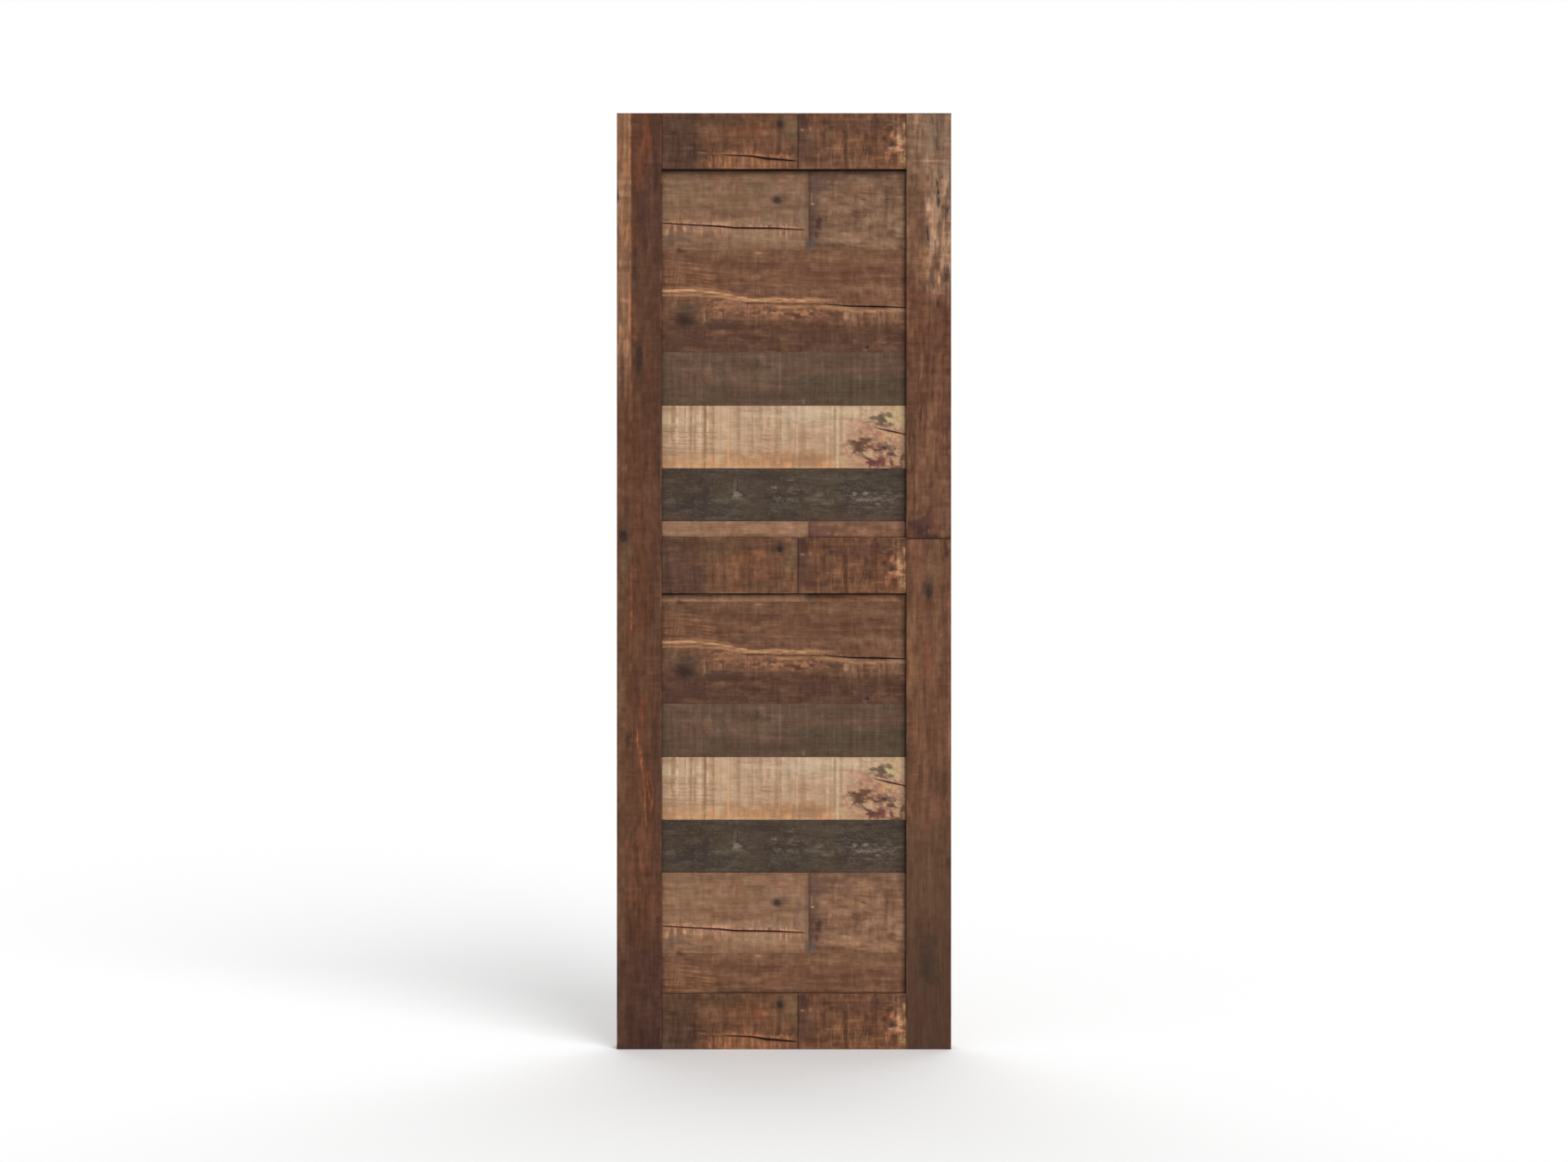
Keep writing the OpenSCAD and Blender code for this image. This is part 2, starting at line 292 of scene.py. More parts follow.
    def lips(self, path, width, above, below, strength):
        """Bruised light lips above and below a crack, fading into the board."""
        line, ends = self.follow(path)
        off = self.across - line
        fleck = 0.6 + 0.7 * self.noise(7, 60, 2)
        width = width * np.clip(1 + 0.7 * self.noise(6, 500, 2), 0.3, 2.0)
        for side, tone in ((-1, above), (1, below)):
            mask = strength * ends * fleck * between(side * off, width * 1.9, width * 0.4)
            self.blend(mask * (side * off > 0), tone)

    def cut(self, path, half_width, tone, strength=0.95):
        """The dark line of an open crack, given as [along, across, opening] points."""
        line, ends = self.follow(path)
        opening = half_width * np.interp(self.along, [p[0] for p in path], [p[2] for p in path])
        off = np.abs(self.across - line)
        self.blend(strength * ends * between(off, opening * 1.5 + 1.4, opening * 0.7), tone)


# --- Tones shared by several boards ------------------------------------------------------

KNOT_CORE = (52, 40, 36)
KNOT_RIM = (80, 58, 46)
KNOT_ARM_SHADE = 0.92
CRACK_DARK = (44, 28, 22)
JOINT_DIRT = (50, 36, 30)
# Painted shade: the near-black contact shade laid in the corners where the front frame stands on the
# planks
CORNER_SHADE = (24, 15, 11)
ASH = (128, 120, 108)

# The length of a level board that shows, and a little more
LEVEL_SPAN = (-285, 285)


# --- Faces of the front frame ------------------------------------------------------------

# An open crack is written as [along, across, opening] points; an opening of 1 is fully open
RAIL_CRACK = [(-143, 94.5, 0.1), (-73, 98.3, 0.7), (-40, 103.8, 1.0), (-8, 106.0, 0.9),
              (28.6, 109.2, 0.5)]


def rail_left_face(face, cracked):
    """Dark at the stile, orange brown to the right, with a knot near the butt joint."""
    face.tone[:] = (111, 77, 56)
    face.mottle((90, 66, 51), 0.5, (60, 24), -0.1, 0.6)
    face.mottle((130, 88, 66), 0.45, (46, 40), 0.0, 0.7)
    face.zone((89, 63, 50), 0.9, along=(-165, -225))
    face.patches(
        ((-245, 20), (34, 34), (100, 74, 56), 0.5), ((-262, 84), (26, 40), (82, 58, 49), 0.5),
        ((-196, 88), (40, 30), (84, 60, 50), 0.5), ((-158, 30), (40, 30), (96, 76, 56), 0.5),
        ((-90, 44), (50, 20), (134, 86, 58), 0.5), ((-58, 40), (17, 22), (148, 92, 62), 0.5),
        ((14, 44), (20, 40), (116, 94, 66), 0.6), ((-30, 76), (40, 20), (124, 84, 62), 0.5),
        ((-24, 60), (22, 12), (98, 68, 51), 0.5), ((-138, 104), (26, 14), (96, 67, 51), 0.4))
    face.bars((-190, 32), (94, 44), (150, 98, 68), 0.5, 5.5)
    face.bars((-285, 32), (127, 50), (74, 50, 40), 0.45, 6.0)
    face.patch((-9, 66), (4, 36), (78, 60, 48), 0.5)
    face.knot((-9, 24), (7, 12), (48, 38, 34), (78, 58, 46), 0.95)
    face.patches(((2, 16), (14, 8), (92, 68, 62), 0.5), ((20, 84), (5, 14), (66, 54, 44), 0.5))
    face.saw *= 1.4
    face.weather()
    if cracked:
        face.patches(
            ((-150, 114), (60, 20), (128, 86, 62), 0.5), ((-50, 120), (90, 22), (140, 95, 68), 0.6))
        face.streak([(-196, 91), (-143, 93), (-90, 94), (-50, 98)], 3.0, (180, 124, 92), 0.75, 1.2)
        face.bars((-185, 32), (100, 150), (184, 124, 88), 0.8, 4.2, -0.3, 8)
        face.lips(RAIL_CRACK, 5.0, (188, 128, 94), (146, 96, 70), 0.8)
        face.bars((-130, 32), (98, 82), (186, 124, 92), 0.75, 5.0, -0.1, 6)
        face.cut(RAIL_CRACK, 2.2, CRACK_DARK)


def rail_right_face(face):
    """Red brown with strong saw marks, small knots and a bright worn end."""
    face.tone[:] = (112, 77, 57)
    face.mottle((86, 60, 50), 0.6, (54, 26), -0.1, 0.6)
    face.mottle((134, 94, 70), 0.45, (36, 26), 0.0, 0.7)
    face.patches(
        ((105, 56), (20, 26), (132, 98, 68), 0.6), ((160, 34), (30, 22), (84, 58, 50), 0.5),
        ((196, 30), (34, 26), (82, 56, 48), 0.6), ((180, 92), (30, 26), (84, 58, 48), 0.55),
        ((140, 104), (70, 14), (126, 92, 66), 0.5), ((215, 104), (50, 12), (120, 86, 62), 0.5),
        ((246, 74), (24, 13), (66, 52, 44), 0.8), ((236, 52), (20, 9), (150, 94, 68), 0.6),
        ((138, 20), (28, 14), (130, 92, 67), 0.45), ((84, 58), (22, 14), (136, 94, 68), 0.45),
        ((194, 60), (26, 14), (86, 60, 47), 0.55), ((250, 106), (22, 12), (112, 78, 58), 0.5),
        ((250, 16), (22, 14), (146, 110, 84), 0.5))
    face.bars((36, 285), (2, 150), (76, 52, 42), 0.5, 6.0)
    face.bars((60, 285), (127, 0), (144, 98, 70), 0.5, 5.5)
    face.zone((80, 56, 48), 0.7, along=(60, 40), ragged=3)
    for at, size, tone in (
            ((268, 46), (18, 34), (166, 128, 97)), ((266, 68), (16, 12), (188, 142, 110)),
            ((254, 86), (30, 8), (188, 130, 98)), ((270, 104), (13, 22), (166, 132, 94)),
            ((250, 30), (18, 10), (150, 110, 84)), ((275, 50), (4, 36), (190, 146, 112))):
        face.patch(at, size, tone, 0.7, 0.8, 0.1)
    face.patches(
        ((246, 50), (7, 9), (196, 130, 94), 0.8), ((238, 92), (5, 40), (156, 100, 76), 0.5),
        ((42, 38), (4, 4), (180, 144, 116), 0.6), ((60, 36), (4, 8), (164, 120, 90), 0.5))
    face.streak([(200, 104), (240, 96), (262, 88)], 4.0, (166, 108, 78), 0.6, 2.0)
    face.patch((139, 56), (4, 90), (78, 54, 44), 0.55, 0.2)
    face.patch((147, 56), (3, 90), (138, 96, 66), 0.5, 0.2)
    face.knot((108, 33), (5, 4), KNOT_CORE, KNOT_RIM, 0.7, 0.6)
    face.knot((229, 57), (5, 5), (70, 38, 32), KNOT_RIM, 0.8, 0.6)
    face.bars((232, 285), (8, 120), (186, 142, 110), 0.5, 5.0, 0.05, 30)
    face.saw *= 1.8
    face.weather(1.1)


def stile_left_face(face):
    """A pale sapwood strip along the outer edge, red brown heartwood beside it."""
    face.tone[:] = (96, 62, 44)
    face.mottle((82, 54, 42), 0.6, (180, 10), -0.1, 0.6)
    face.mottle((108, 72, 55), 0.4, (110, 14), 0.0, 0.7)
    face.mottle((102, 69, 51), 0.4, (60, 14), 0.0, 0.7)
    face.zone((84, 58, 46), 0.5, across=(60, 98), ragged=4)
    face.zone((112, 82, 58), 0.55, across=(34, 8), ragged=8)
    face.zone((84, 55, 42), 0.7, along=(1740, 1960), across=(30, 60), ragged=8)
    face.patches(
        ((2080, 62), (80, 20), (126, 74, 52), 0.8), ((2010, 52), (60, 16), (116, 70, 50), 0.6),
        ((2010, 88), (70, 7), (58, 42, 38), 0.6), ((1880, 66), (110, 30), (80, 54, 46), 0.5),
        ((1790, 42), (80, 6), (64, 48, 40), 0.6), ((1930, 54), (60, 16), (78, 52, 42), 0.5),
        ((1540, 48), (46, 16), (72, 48, 39), 0.4), ((1140, 18), (66, 16), (122, 84, 62), 0.4),
        ((740, 16), (60, 14), (118, 82, 60), 0.4), ((470, 70), (60, 30), (118, 77, 55), 0.5),
        ((330, 84), (66, 18), (106, 67, 48), 0.55), ((340, 14), (60, 14), (82, 56, 46), 0.45))
    edge = 32.5 + 1.2 * face.noise(240, 900, 2)
    sap = between(face.across, edge + 0.6, edge - 1.8) * between(face.along, 1440, 1600)
    face.blend(0.94 * sap, (138, 99, 73))
    face.blend(0.6 * sap * between(face.noise(60, 9), 0.0, 0.6), (112, 84, 64))
    face.blend(0.7 * sap * between(face.noise(40, 8), 0.1, 0.7), (166, 118, 86))
    rim = between(np.abs(face.across - edge + 4), 4.0, 1.2) * between(face.along, 1440, 1640)
    face.blend(0.8 * rim * between(face.noise(60, 300), -0.5, 0.3), (180, 124, 88))
    bars = between(np.abs(face.along - 1976), 7, 3) + between(np.abs(face.along - 1950), 8, 4)
    face.blend(0.6 * np.clip(sap * bars, 0, 1) * (0.7 + 0.5 * face.noise(9, 7)), (190, 148, 118))
    face.patches(
        ((1944, 1), (20, 5), (44, 36, 36), 0.9), ((1858, 25), (26, 6), (190, 130, 88), 0.7),
        ((1706, 20), (6, 18), (176, 132, 98), 0.6), ((1560, 10), (90, 5), (92, 66, 52), 0.6),
        ((1520, 14), (80, 4), (88, 62, 48), 0.6), ((1470, 32), (60, 5), (134, 90, 62), 0.6),
        ((1566, 52), (60, 16), (68, 48, 38), 0.6))
    face.patch((1580, 50), (36, 13), (56, 42, 36), 0.8, 0.4)
    face.bars((1230, 1470), (0, 66), (128, 86, 64), 0.6, 11.0, 0.0, 20)
    face.patches(
        ((1325, 14), (8, 12), (146, 98, 74), 0.6), ((1210, 30), (30, 20), (92, 64, 48), 0.5),
        ((1130, 20), (70, 16), (104, 82, 60), 0.6))
    face.knot((1171, 15), (18, 11), (46, 37, 33), (72, 52, 42), 0.95, 1.2)
    face.streak([(950, 33), (1008, 34)], 4.0, (182, 108, 66), 0.85, 0.5)
    face.streak([(860, 30), (1110, 34)], 3.5, (136, 88, 60), 0.6)
    face.patches(
        ((800, 10), (180, 12), (108, 80, 58), 0.6), ((705, 24), (30, 9), (62, 46, 36), 0.75),
        ((770, 56), (50, 8), (132, 74, 52), 0.6))
    for run in (
            [(640, 74), (585, 84), (540, 78)], [(640, 66), (590, 72), (560, 80)],
            [(700, 50), (610, 62), (500, 68)], [(760, 44), (700, 48), (640, 56)]):
        face.streak(run[::-1], 3.0, (158, 92, 60), 0.75, 1.5)
    face.bars((330, 500), (20, 90), (124, 76, 58), 0.5, 9.0, 0.05, 20)
    face.patches(
        ((470, 22), (16, 6), (130, 66, 50), 0.6), ((340, 44), (40, 5), (124, 88, 58), 0.5),
        ((270, 30), (60, 6), (60, 44, 36), 0.6), ((122, 58), (34, 9), (54, 42, 34), 0.7))
    face.zone((82, 55, 44), 0.85, along=(270, 200), ragged=16)
    face.zone((68, 45, 38), 0.7, along=(90, 20), across=(20, 50), ragged=8)
    face.saw *= 0.6
    face.weather(1.1)


def stile_right_upper_face(face):
    """Weathered grey tan at the top with split pale streaks, red brown below."""
    face.tone[:] = (107, 73, 53)
    face.mottle((86, 58, 46), 0.6, (120, 8), -0.05, 0.6)
    face.mottle((128, 92, 70), 0.45, (90, 10), 0.0, 0.7)
    face.mottle((114, 74, 58), 0.45, (70, 24), 0.0, 0.7)
    face.zone((100, 66, 50), 0.5, along=(1430, 1500), ragged=8)
    face.zone((121, 89, 67), 0.9, along=(1760, 1880), ragged=8)
    face.zone((134, 102, 80), 0.85, along=(1990, 2020), ragged=4)
    face.patches(
        ((2090, 60), (60, 60), (130, 108, 90), 0.7), ((2080, 24), (60, 26), (154, 118, 88), 0.7),
        ((2000, 80), (36, 24), (124, 112, 88), 0.7), ((2030, 30), (20, 40), (112, 84, 66), 0.5),
        ((1900, 24), (70, 22), (104, 74, 57), 0.6), ((1800, 34), (60, 28), (128, 92, 68), 0.6),
        ((1860, 12), (110, 8), (106, 74, 56), 0.5), ((2020, 62), (12, 34), (150, 112, 92), 0.6),
        ((2070, 16), (56, 20), (112, 86, 69), 0.5), ((1930, 16), (60, 16), (104, 75, 56), 0.4),
        ((1800, 50), (56, 14), (152, 104, 70), 0.55), ((1800, 90), (60, 12), (100, 68, 49), 0.5),
        ((1400, 50), (56, 16), (126, 90, 66), 0.4), ((1270, 86), (56, 14), (88, 60, 46), 0.4))
    face.bars((2030, 2130), (0, 60), (104, 82, 66), 0.5, 6.0, 0.1, 30)
    face.streak([(2045, 71), (2130, 71)], 2.4, (66, 52, 46), 0.9, 0.6, 0.3)
    face.streak([(2060, 64), (2128, 60)], 2.2, (78, 61, 52), 0.8, 0.6, 0.3)
    face.patch((2026, 55), (3, 50), (168, 138, 112), 0.7, 0.25)
    worn = between(face.along, 1680, 1760) * between(face.along, 2030, 1990)
    worn = worn * between(face.across, 38, 50)
    split = face.noise(38, 6.0)
    face.blend(0.5 * worn, (150, 117, 93))
    face.blend(0.6 * worn * between(split, 0.0, 0.5), (174, 138, 110))
    face.blend(0.5 * worn * between(face.noise(22, 16), 0.1, 0.6), (150, 122, 104))
    face.blend(0.6 * worn * between(split, -0.1, -0.5), (98, 74, 58))
    face.relief += 0.7 * worn * between(split, 0.0, -0.6)
    for run, wide, tone, strength in (
            ([(1940, 84), (1975, 88)], 5.4, (206, 170, 138), 0.85),
            ([(1860, 60), (1900, 54), (1935, 52)], 6.75, (190, 142, 114), 0.7),
            ([(1770, 78), (1830, 84), (1900, 86)], 5.4, (182, 142, 106), 0.65),
            ([(1800, 92), (1870, 98)], 4.05, (168, 126, 92), 0.6),
            ([(1840, 66), (1900, 70), (1930, 70)], 4.725, (186, 150, 118), 0.6),
            ([(1900, 70), (1935, 72), (1985, 68)], 3.51, (44, 38, 36), 0.9),
            ([(1895, 92), (1930, 94)], 6.75, (58, 50, 44), 0.85),
            ([(1820, 54), (1880, 46)], 3.51, (78, 56, 44), 0.7),
            ([(1738, 73), (1778, 73)], 5.4, (200, 146, 96), 0.9),
            ([(1745, 88), (1790, 92)], 6.75, (68, 52, 42), 0.75),
            ([(1690, 71), (1712, 71)], 4.05, (56, 36, 30), 0.85)):
        face.streak(run, wide, tone, strength, 1.5, 0.7)
    face.patches(
        ((1975, 86), (14, 12), (190, 144, 120), 0.6), ((1724, 80), (5, 22), (160, 102, 76), 0.6),
        ((1715, 30), (10, 46), (132, 84, 64), 0.5), ((1770, 26), (50, 26), (122, 90, 64), 0.6),
        ((1640, 30), (60, 34), (112, 70, 50), 0.5), ((1640, 88), (90, 12), (96, 58, 44), 0.6))
    face.bars((1480, 1500), (102, 50), (150, 96, 76), 0.7, 9.0, -0.2, 10)
    for run in ([(1500, 30), (1600, 36)], [(1440, 50), (1560, 60)], [(1330, 72), (1430, 80)]):
        face.streak(run, 3.5, (128, 88, 62), 0.6, 2.0)
    for run in ([(1370, 14), (1450, 20)], [(1480, 58), (1590, 62)], [(1400, 32), (1500, 34)]):
        face.streak(run, 2.6, (70, 46, 38), 0.7, 2.0)
    face.patches(
        ((1382, 66), (34, 14), (124, 88, 62), 0.7), ((1370, 94), (14, 9), (90, 46, 40), 0.8),
        ((1290, 80), (60, 16), (122, 82, 60), 0.5), ((1196, 34), (40, 30), (74, 50, 46), 0.85),
        ((1180, 10), (20, 10), (104, 60, 50), 0.7), ((1200, 88), (24, 8), (70, 46, 42), 0.7))
    face.knot((1382, 70), (17, 8), (96, 66, 48), (120, 84, 58), 0.5, 0.4)
    face.bars((1170, 1300), (102, 40), (128, 90, 72), 0.55, 9.0, 0.0, 20)
    face.patch((1330, 56), (110, 60), (122, 87, 66), 0.35)
    face.patch((1182, 50), (9, 2.5), (168, 130, 102), 0.8, 0.2)
    face.zone((60, 42, 38), 0.7, along=(1174, 1166), ragged=1)
    face.saw *= 0.7
    face.weather(1.35)


def stile_right_lower_face(face):
    """Brown with one knot near its top, darkening to chocolate at the floor."""
    face.tone[:] = (112, 78, 57)
    face.mottle((92, 64, 48), 0.55, (150, 10), -0.05, 0.6)
    face.mottle((126, 90, 66), 0.45, (90, 10), 0.0, 0.7)
    face.mottle((120, 79, 63), 0.45, (90, 24), 0.0, 0.7)
    face.patches(
        ((1110, 60), (60, 26), (122, 92, 66), 0.6), ((1130, 20), (50, 14), (128, 84, 62), 0.5),
        ((1132, 90), (24, 10), (70, 50, 42), 0.7), ((1080, 84), (40, 12), (134, 92, 64), 0.5),
        ((880, 48), (80, 16), (132, 82, 60), 0.6), ((900, 10), (140, 8), (136, 96, 62), 0.5),
        ((740, 66), (80, 20), (104, 70, 50), 0.5), ((1010, 92), (30, 8), (130, 82, 62), 0.6),
        ((1000, 14), (60, 16), (134, 99, 69), 0.4), ((870, 16), (70, 16), (140, 102, 72), 0.5),
        ((730, 16), (60, 16), (134, 95, 66), 0.45), ((605, 76), (56, 26), (88, 63, 48), 0.55),
        ((336, 88), (56, 14), (74, 52, 41), 0.5), ((1052, 49), (36, 9), (84, 62, 50), 0.5))
    face.knot((1044, 50), (19, 9), (50, 38, 33), (82, 59, 47), 0.95, 1.2)
    face.streak([(530, 98), (760, 97), (1000, 96)], 2.6, (158, 106, 74), 0.65, 0.8)
    face.zone((97, 70, 53), 0.8, along=(560, 470), ragged=14)
    face.patches(
        ((300, 70), (60, 16), (96, 62, 50), 0.6), ((250, 60), (36, 24), (72, 56, 42), 0.7),
        ((390, 40), (60, 18), (106, 80, 58), 0.5), ((420, 96), (20, 6), (64, 52, 42), 0.6))
    face.zone((84, 59, 46), 0.85, along=(330, 200), ragged=18)
    face.patches(((190, 54), (50, 34), (70, 54, 42), 0.7), ((80, 30), (90, 20), (94, 62, 50), 0.4))
    face.saw *= 0.15 + 0.45 * between(face.along, 200, 600)
    calm = 0.45 + 0.65 * between(face.along, 200, 700)
    face.weather(calm[..., None])
    face.shade(0.04, (180, 24), 0.02)


# --- Faces of the planks -----------------------------------------------------------------

SPLIT_CRACK = [(-285, 121.1, 0.2), (-206, 125.9, 0.6), (-150, 128.8, 0.9), (-112, 132.5, 1.0),
               (-20, 133.6, 0.9), (50, 137.1, 0.35)]
BROWN_CRACK = [(90, 122.3, 0.12), (150, 127.4, 0.75), (220, 128.8, 1.0), (287, 130.7, 0.3)]
PALE_CRACK = [(206, 49.3, 0.1), (240, 57.2, 0.8), (285, 67.2, 0.35)]


def split_left_face(face):
    """Tan, with a small knot and one long running crack under light bruised lips."""
    face.tone[:] = (132, 101, 76)
    face.mottle((116, 88, 66), 0.6, (80, 14), -0.05, 0.6)
    face.mottle((132, 104, 82), 0.45, (60, 30), 0.0, 0.7)
    face.mottle((144, 106, 86), 0.45, (40, 20), 0.0, 0.7)
    face.patches(
        ((0, 24), (44, 30), (134, 96, 78), 0.6), ((-200, 30), (60, 16), (146, 116, 88), 0.5),
        ((-120, 66), (60, 16), (120, 90, 66), 0.5), ((-60, 40), (60, 20), (118, 96, 72), 0.5),
        ((-110, 100), (150, 12), (128, 92, 70), 0.5), ((36, 90), (20, 40), (122, 96, 78), 0.5),
        ((-84, 52), (30, 18), (148, 113, 86), 0.55), ((-80, 160), (36, 14), (116, 92, 70), 0.5),
        ((-205, 16), (60, 12), (118, 93, 75), 0.45),
        ((-170, 124), (120, 14), (158, 120, 94), 0.35), ((-6, 62), (26, 12), (112, 86, 76), 0.6))
    face.knot((-15, 70), (11, 9), (62, 47, 38), (102, 78, 62), 0.95, 0.7)
    face.patches(((-14, 104), (7, 30), (104, 82, 66), 0.45), ((28, 116), (9, 9), (96, 74, 58), 0.6))
    face.zone((145, 112, 87), 0.75, across=(128, 140), ragged=4)
    face.patches(
        ((-258, 160), (44, 20), (112, 90, 74), 0.7), ((-240, 182), (12, 5), (76, 54, 42), 0.8),
        ((-60, 156), (60, 9), (152, 126, 94), 0.5), ((-200, 174), (90, 8), (108, 82, 62), 0.5))
    face.zone((120, 87, 65), 0.8, across=(166, 186), ragged=6)
    face.patches(
        ((-250, 116), (60, 5), (176, 128, 96), 0.7), ((-150, 123), (40, 4), (180, 132, 104), 0.6))
    face.saw *= 0.9
    face.weather(0.85)
    face.bars((-290, 50), (126, 160), (198, 152, 118), 0.85, 5.0, 0.0, 10)
    face.bars((-290, 50), (126, 150), (112, 78, 60), 0.6, 5.0, 0.1, 10)
    face.bars((-270, 50), (122, 98), (180, 132, 102), 0.6, 5.5, 0.1, 10)
    face.lips(SPLIT_CRACK, 4.0, (198, 148, 118), (158, 112, 88), 0.85)
    face.cut(SPLIT_CRACK, 1.5, (52, 32, 26), 0.92)
    face.patch((52, 168), (6, 26), (84, 76, 68), 0.7)
    face.zone((104, 80, 64), 0.5, along=(44, 56), ragged=1)
    face.patches(
        ((-74, 16), (36, 14), (148, 116, 92), 0.45), ((-225, 88), (50, 14), (120, 92, 70), 0.4))


def split_right_face(face):
    """Darker at the butt joint, blotched tan to the right."""
    face.tone[:] = (128, 97, 74)
    face.mottle((104, 78, 60), 0.6, (46, 20), -0.05, 0.6)
    face.mottle((146, 110, 88), 0.5, (40, 18), 0.0, 0.7)
    face.mottle((132, 103, 82), 0.5, (54, 26), 0.0, 0.7)
    face.zone((96, 72, 62), 0.8, along=(100, 60), ragged=4)
    face.zone((108, 82, 66), 0.6, across=(50, 12))
    face.patches(
        ((86, 30), (34, 26), (96, 72, 62), 0.7), ((180, 44), (60, 12), (142, 108, 82), 0.6),
        ((156, 70), (50, 10), (148, 114, 84), 0.6), ((196, 54), (40, 4), (92, 68, 54), 0.6),
        ((182, 68), (9, 5), (86, 62, 50), 0.7), ((80, 118), (8, 22), (72, 50, 42), 0.8),
        ((74, 150), (6, 16), (80, 56, 46), 0.6), ((170, 108), (22, 14), (98, 68, 54), 0.75),
        ((130, 112), (40, 16), (118, 82, 64), 0.6), ((104, 146), (20, 24), (140, 110, 88), 0.6),
        ((160, 150), (60, 18), (148, 112, 86), 0.5), ((236, 60), (8, 40), (104, 82, 66), 0.6),
        ((262, 70), (16, 40), (148, 116, 88), 0.5), ((240, 100), (7, 44), (160, 122, 92), 0.5),
        ((262, 134), (16, 20), (142, 116, 94), 0.6), ((66, 170), (12, 18), (84, 76, 70), 0.7),
        ((150, 180), (90, 6), (150, 108, 80), 0.5), ((136, 52), (32, 16), (110, 84, 67), 0.5),
        ((138, 156), (34, 18), (154, 123, 98), 0.55), ((252, 126), (24, 14), (146, 112, 88), 0.4))
    face.patch((233, 92), (3, 100), (96, 74, 58), 0.5, 0.15)
    face.bars((70, 280), (100, 184), (104, 78, 62), 0.45, 6.5)
    face.bars((70, 280), (96, 160), (166, 126, 98), 0.4, 6.5, 0.1)
    face.zone((118, 86, 64), 0.6, across=(170, 186), ragged=5)
    face.saw *= 0.9
    face.weather(1.2)
    face.patch((65, 78), (4, 3), (214, 190, 164), 0.9, 0.2)
    face.patch((64, 62), (2.5, 16), (160, 134, 112), 0.5, 0.4)
    face.patch((59, 92), (3.0, 110), (74, 58, 52), 0.65, 0.2)
    face.patch((136, 90), (34, 18), (158, 124, 98), 0.65)


def brown_face(face):
    """Brown heartwood with a light torn streak, a big knot below it and a fine crack."""
    face.tone[:] = (116, 81, 60)
    face.mottle((98, 68, 52), 0.55, (90, 8), -0.05, 0.6)
    face.mottle((132, 95, 73), 0.4, (70, 9), 0.0, 0.7)
    face.mottle((124, 85, 67), 0.45, (70, 30), 0.0, 0.7)
    face.zone((126, 93, 68), 0.7, across=(22, 4), ragged=5)
    face.patches(
        ((-190, 60), (90, 20), (108, 72, 52), 0.5), ((-24, 60), (40, 30), (130, 88, 64), 0.5),
        ((-62, 64), (12, 12), (146, 106, 76), 0.5), ((110, 60), (60, 26), (112, 76, 58), 0.5))
    for drop in (24, 36, 46, 54, 62, 70):
        run = [(-300, drop), (-235, drop + 3), (-200, drop + 6), (-160, drop + 12)]
        face.streak(run, 2.0, (160, 114, 74), 0.65, 1.5, 0.9)
    face.streak([(-300, 42), (-190, 52), (-140, 60)], 5.0, (142, 96, 68), 0.5, 2.0)
    face.zone((90, 62, 48), 0.9, across=(150, 182), ragged=12)
    face.zone((88, 60, 50), 0.4, across=(190, 228), ragged=8)
    face.patches(
        ((60, 20), (120, 8), (138, 100, 74), 0.5), ((-150, 206), (60, 10), (108, 80, 60), 0.4),
        ((10, 214), (50, 8), (110, 78, 50), 0.4))
    face.mottle((138, 100, 76), 0.4, (26, 12), 0.2, 0.8)
    face.mottle((96, 66, 50), 0.4, (30, 9), 0.2, 0.8)
    face.patches(
        ((262, 140), (24, 60), (142, 106, 82), 0.5), ((-118, 168), (52, 16), (88, 62, 50), 0.55),
        ((140, 134), (32, 12), (158, 116, 86), 0.4), ((256, 96), (26, 14), (136, 100, 76), 0.4),
        ((-250, 70), (40, 14), (134, 94, 66), 0.6), ((-80, 84), (60, 12), (98, 68, 52), 0.5),
        ((200, 90), (80, 14), (128, 90, 68), 0.5), ((240, 40), (40, 26), (108, 74, 56), 0.5))
    face.saw *= 1.1
    face.weather(0.95)
    torn_streak(face)
    face.lips(BROWN_CRACK, 4.5, (166, 118, 86), (158, 116, 84), 0.6)
    face.cut(BROWN_CRACK, 1.5, CRACK_DARK)
    face.patch((189, 221), (9, 5), (54, 42, 36), 0.9, 0.25)


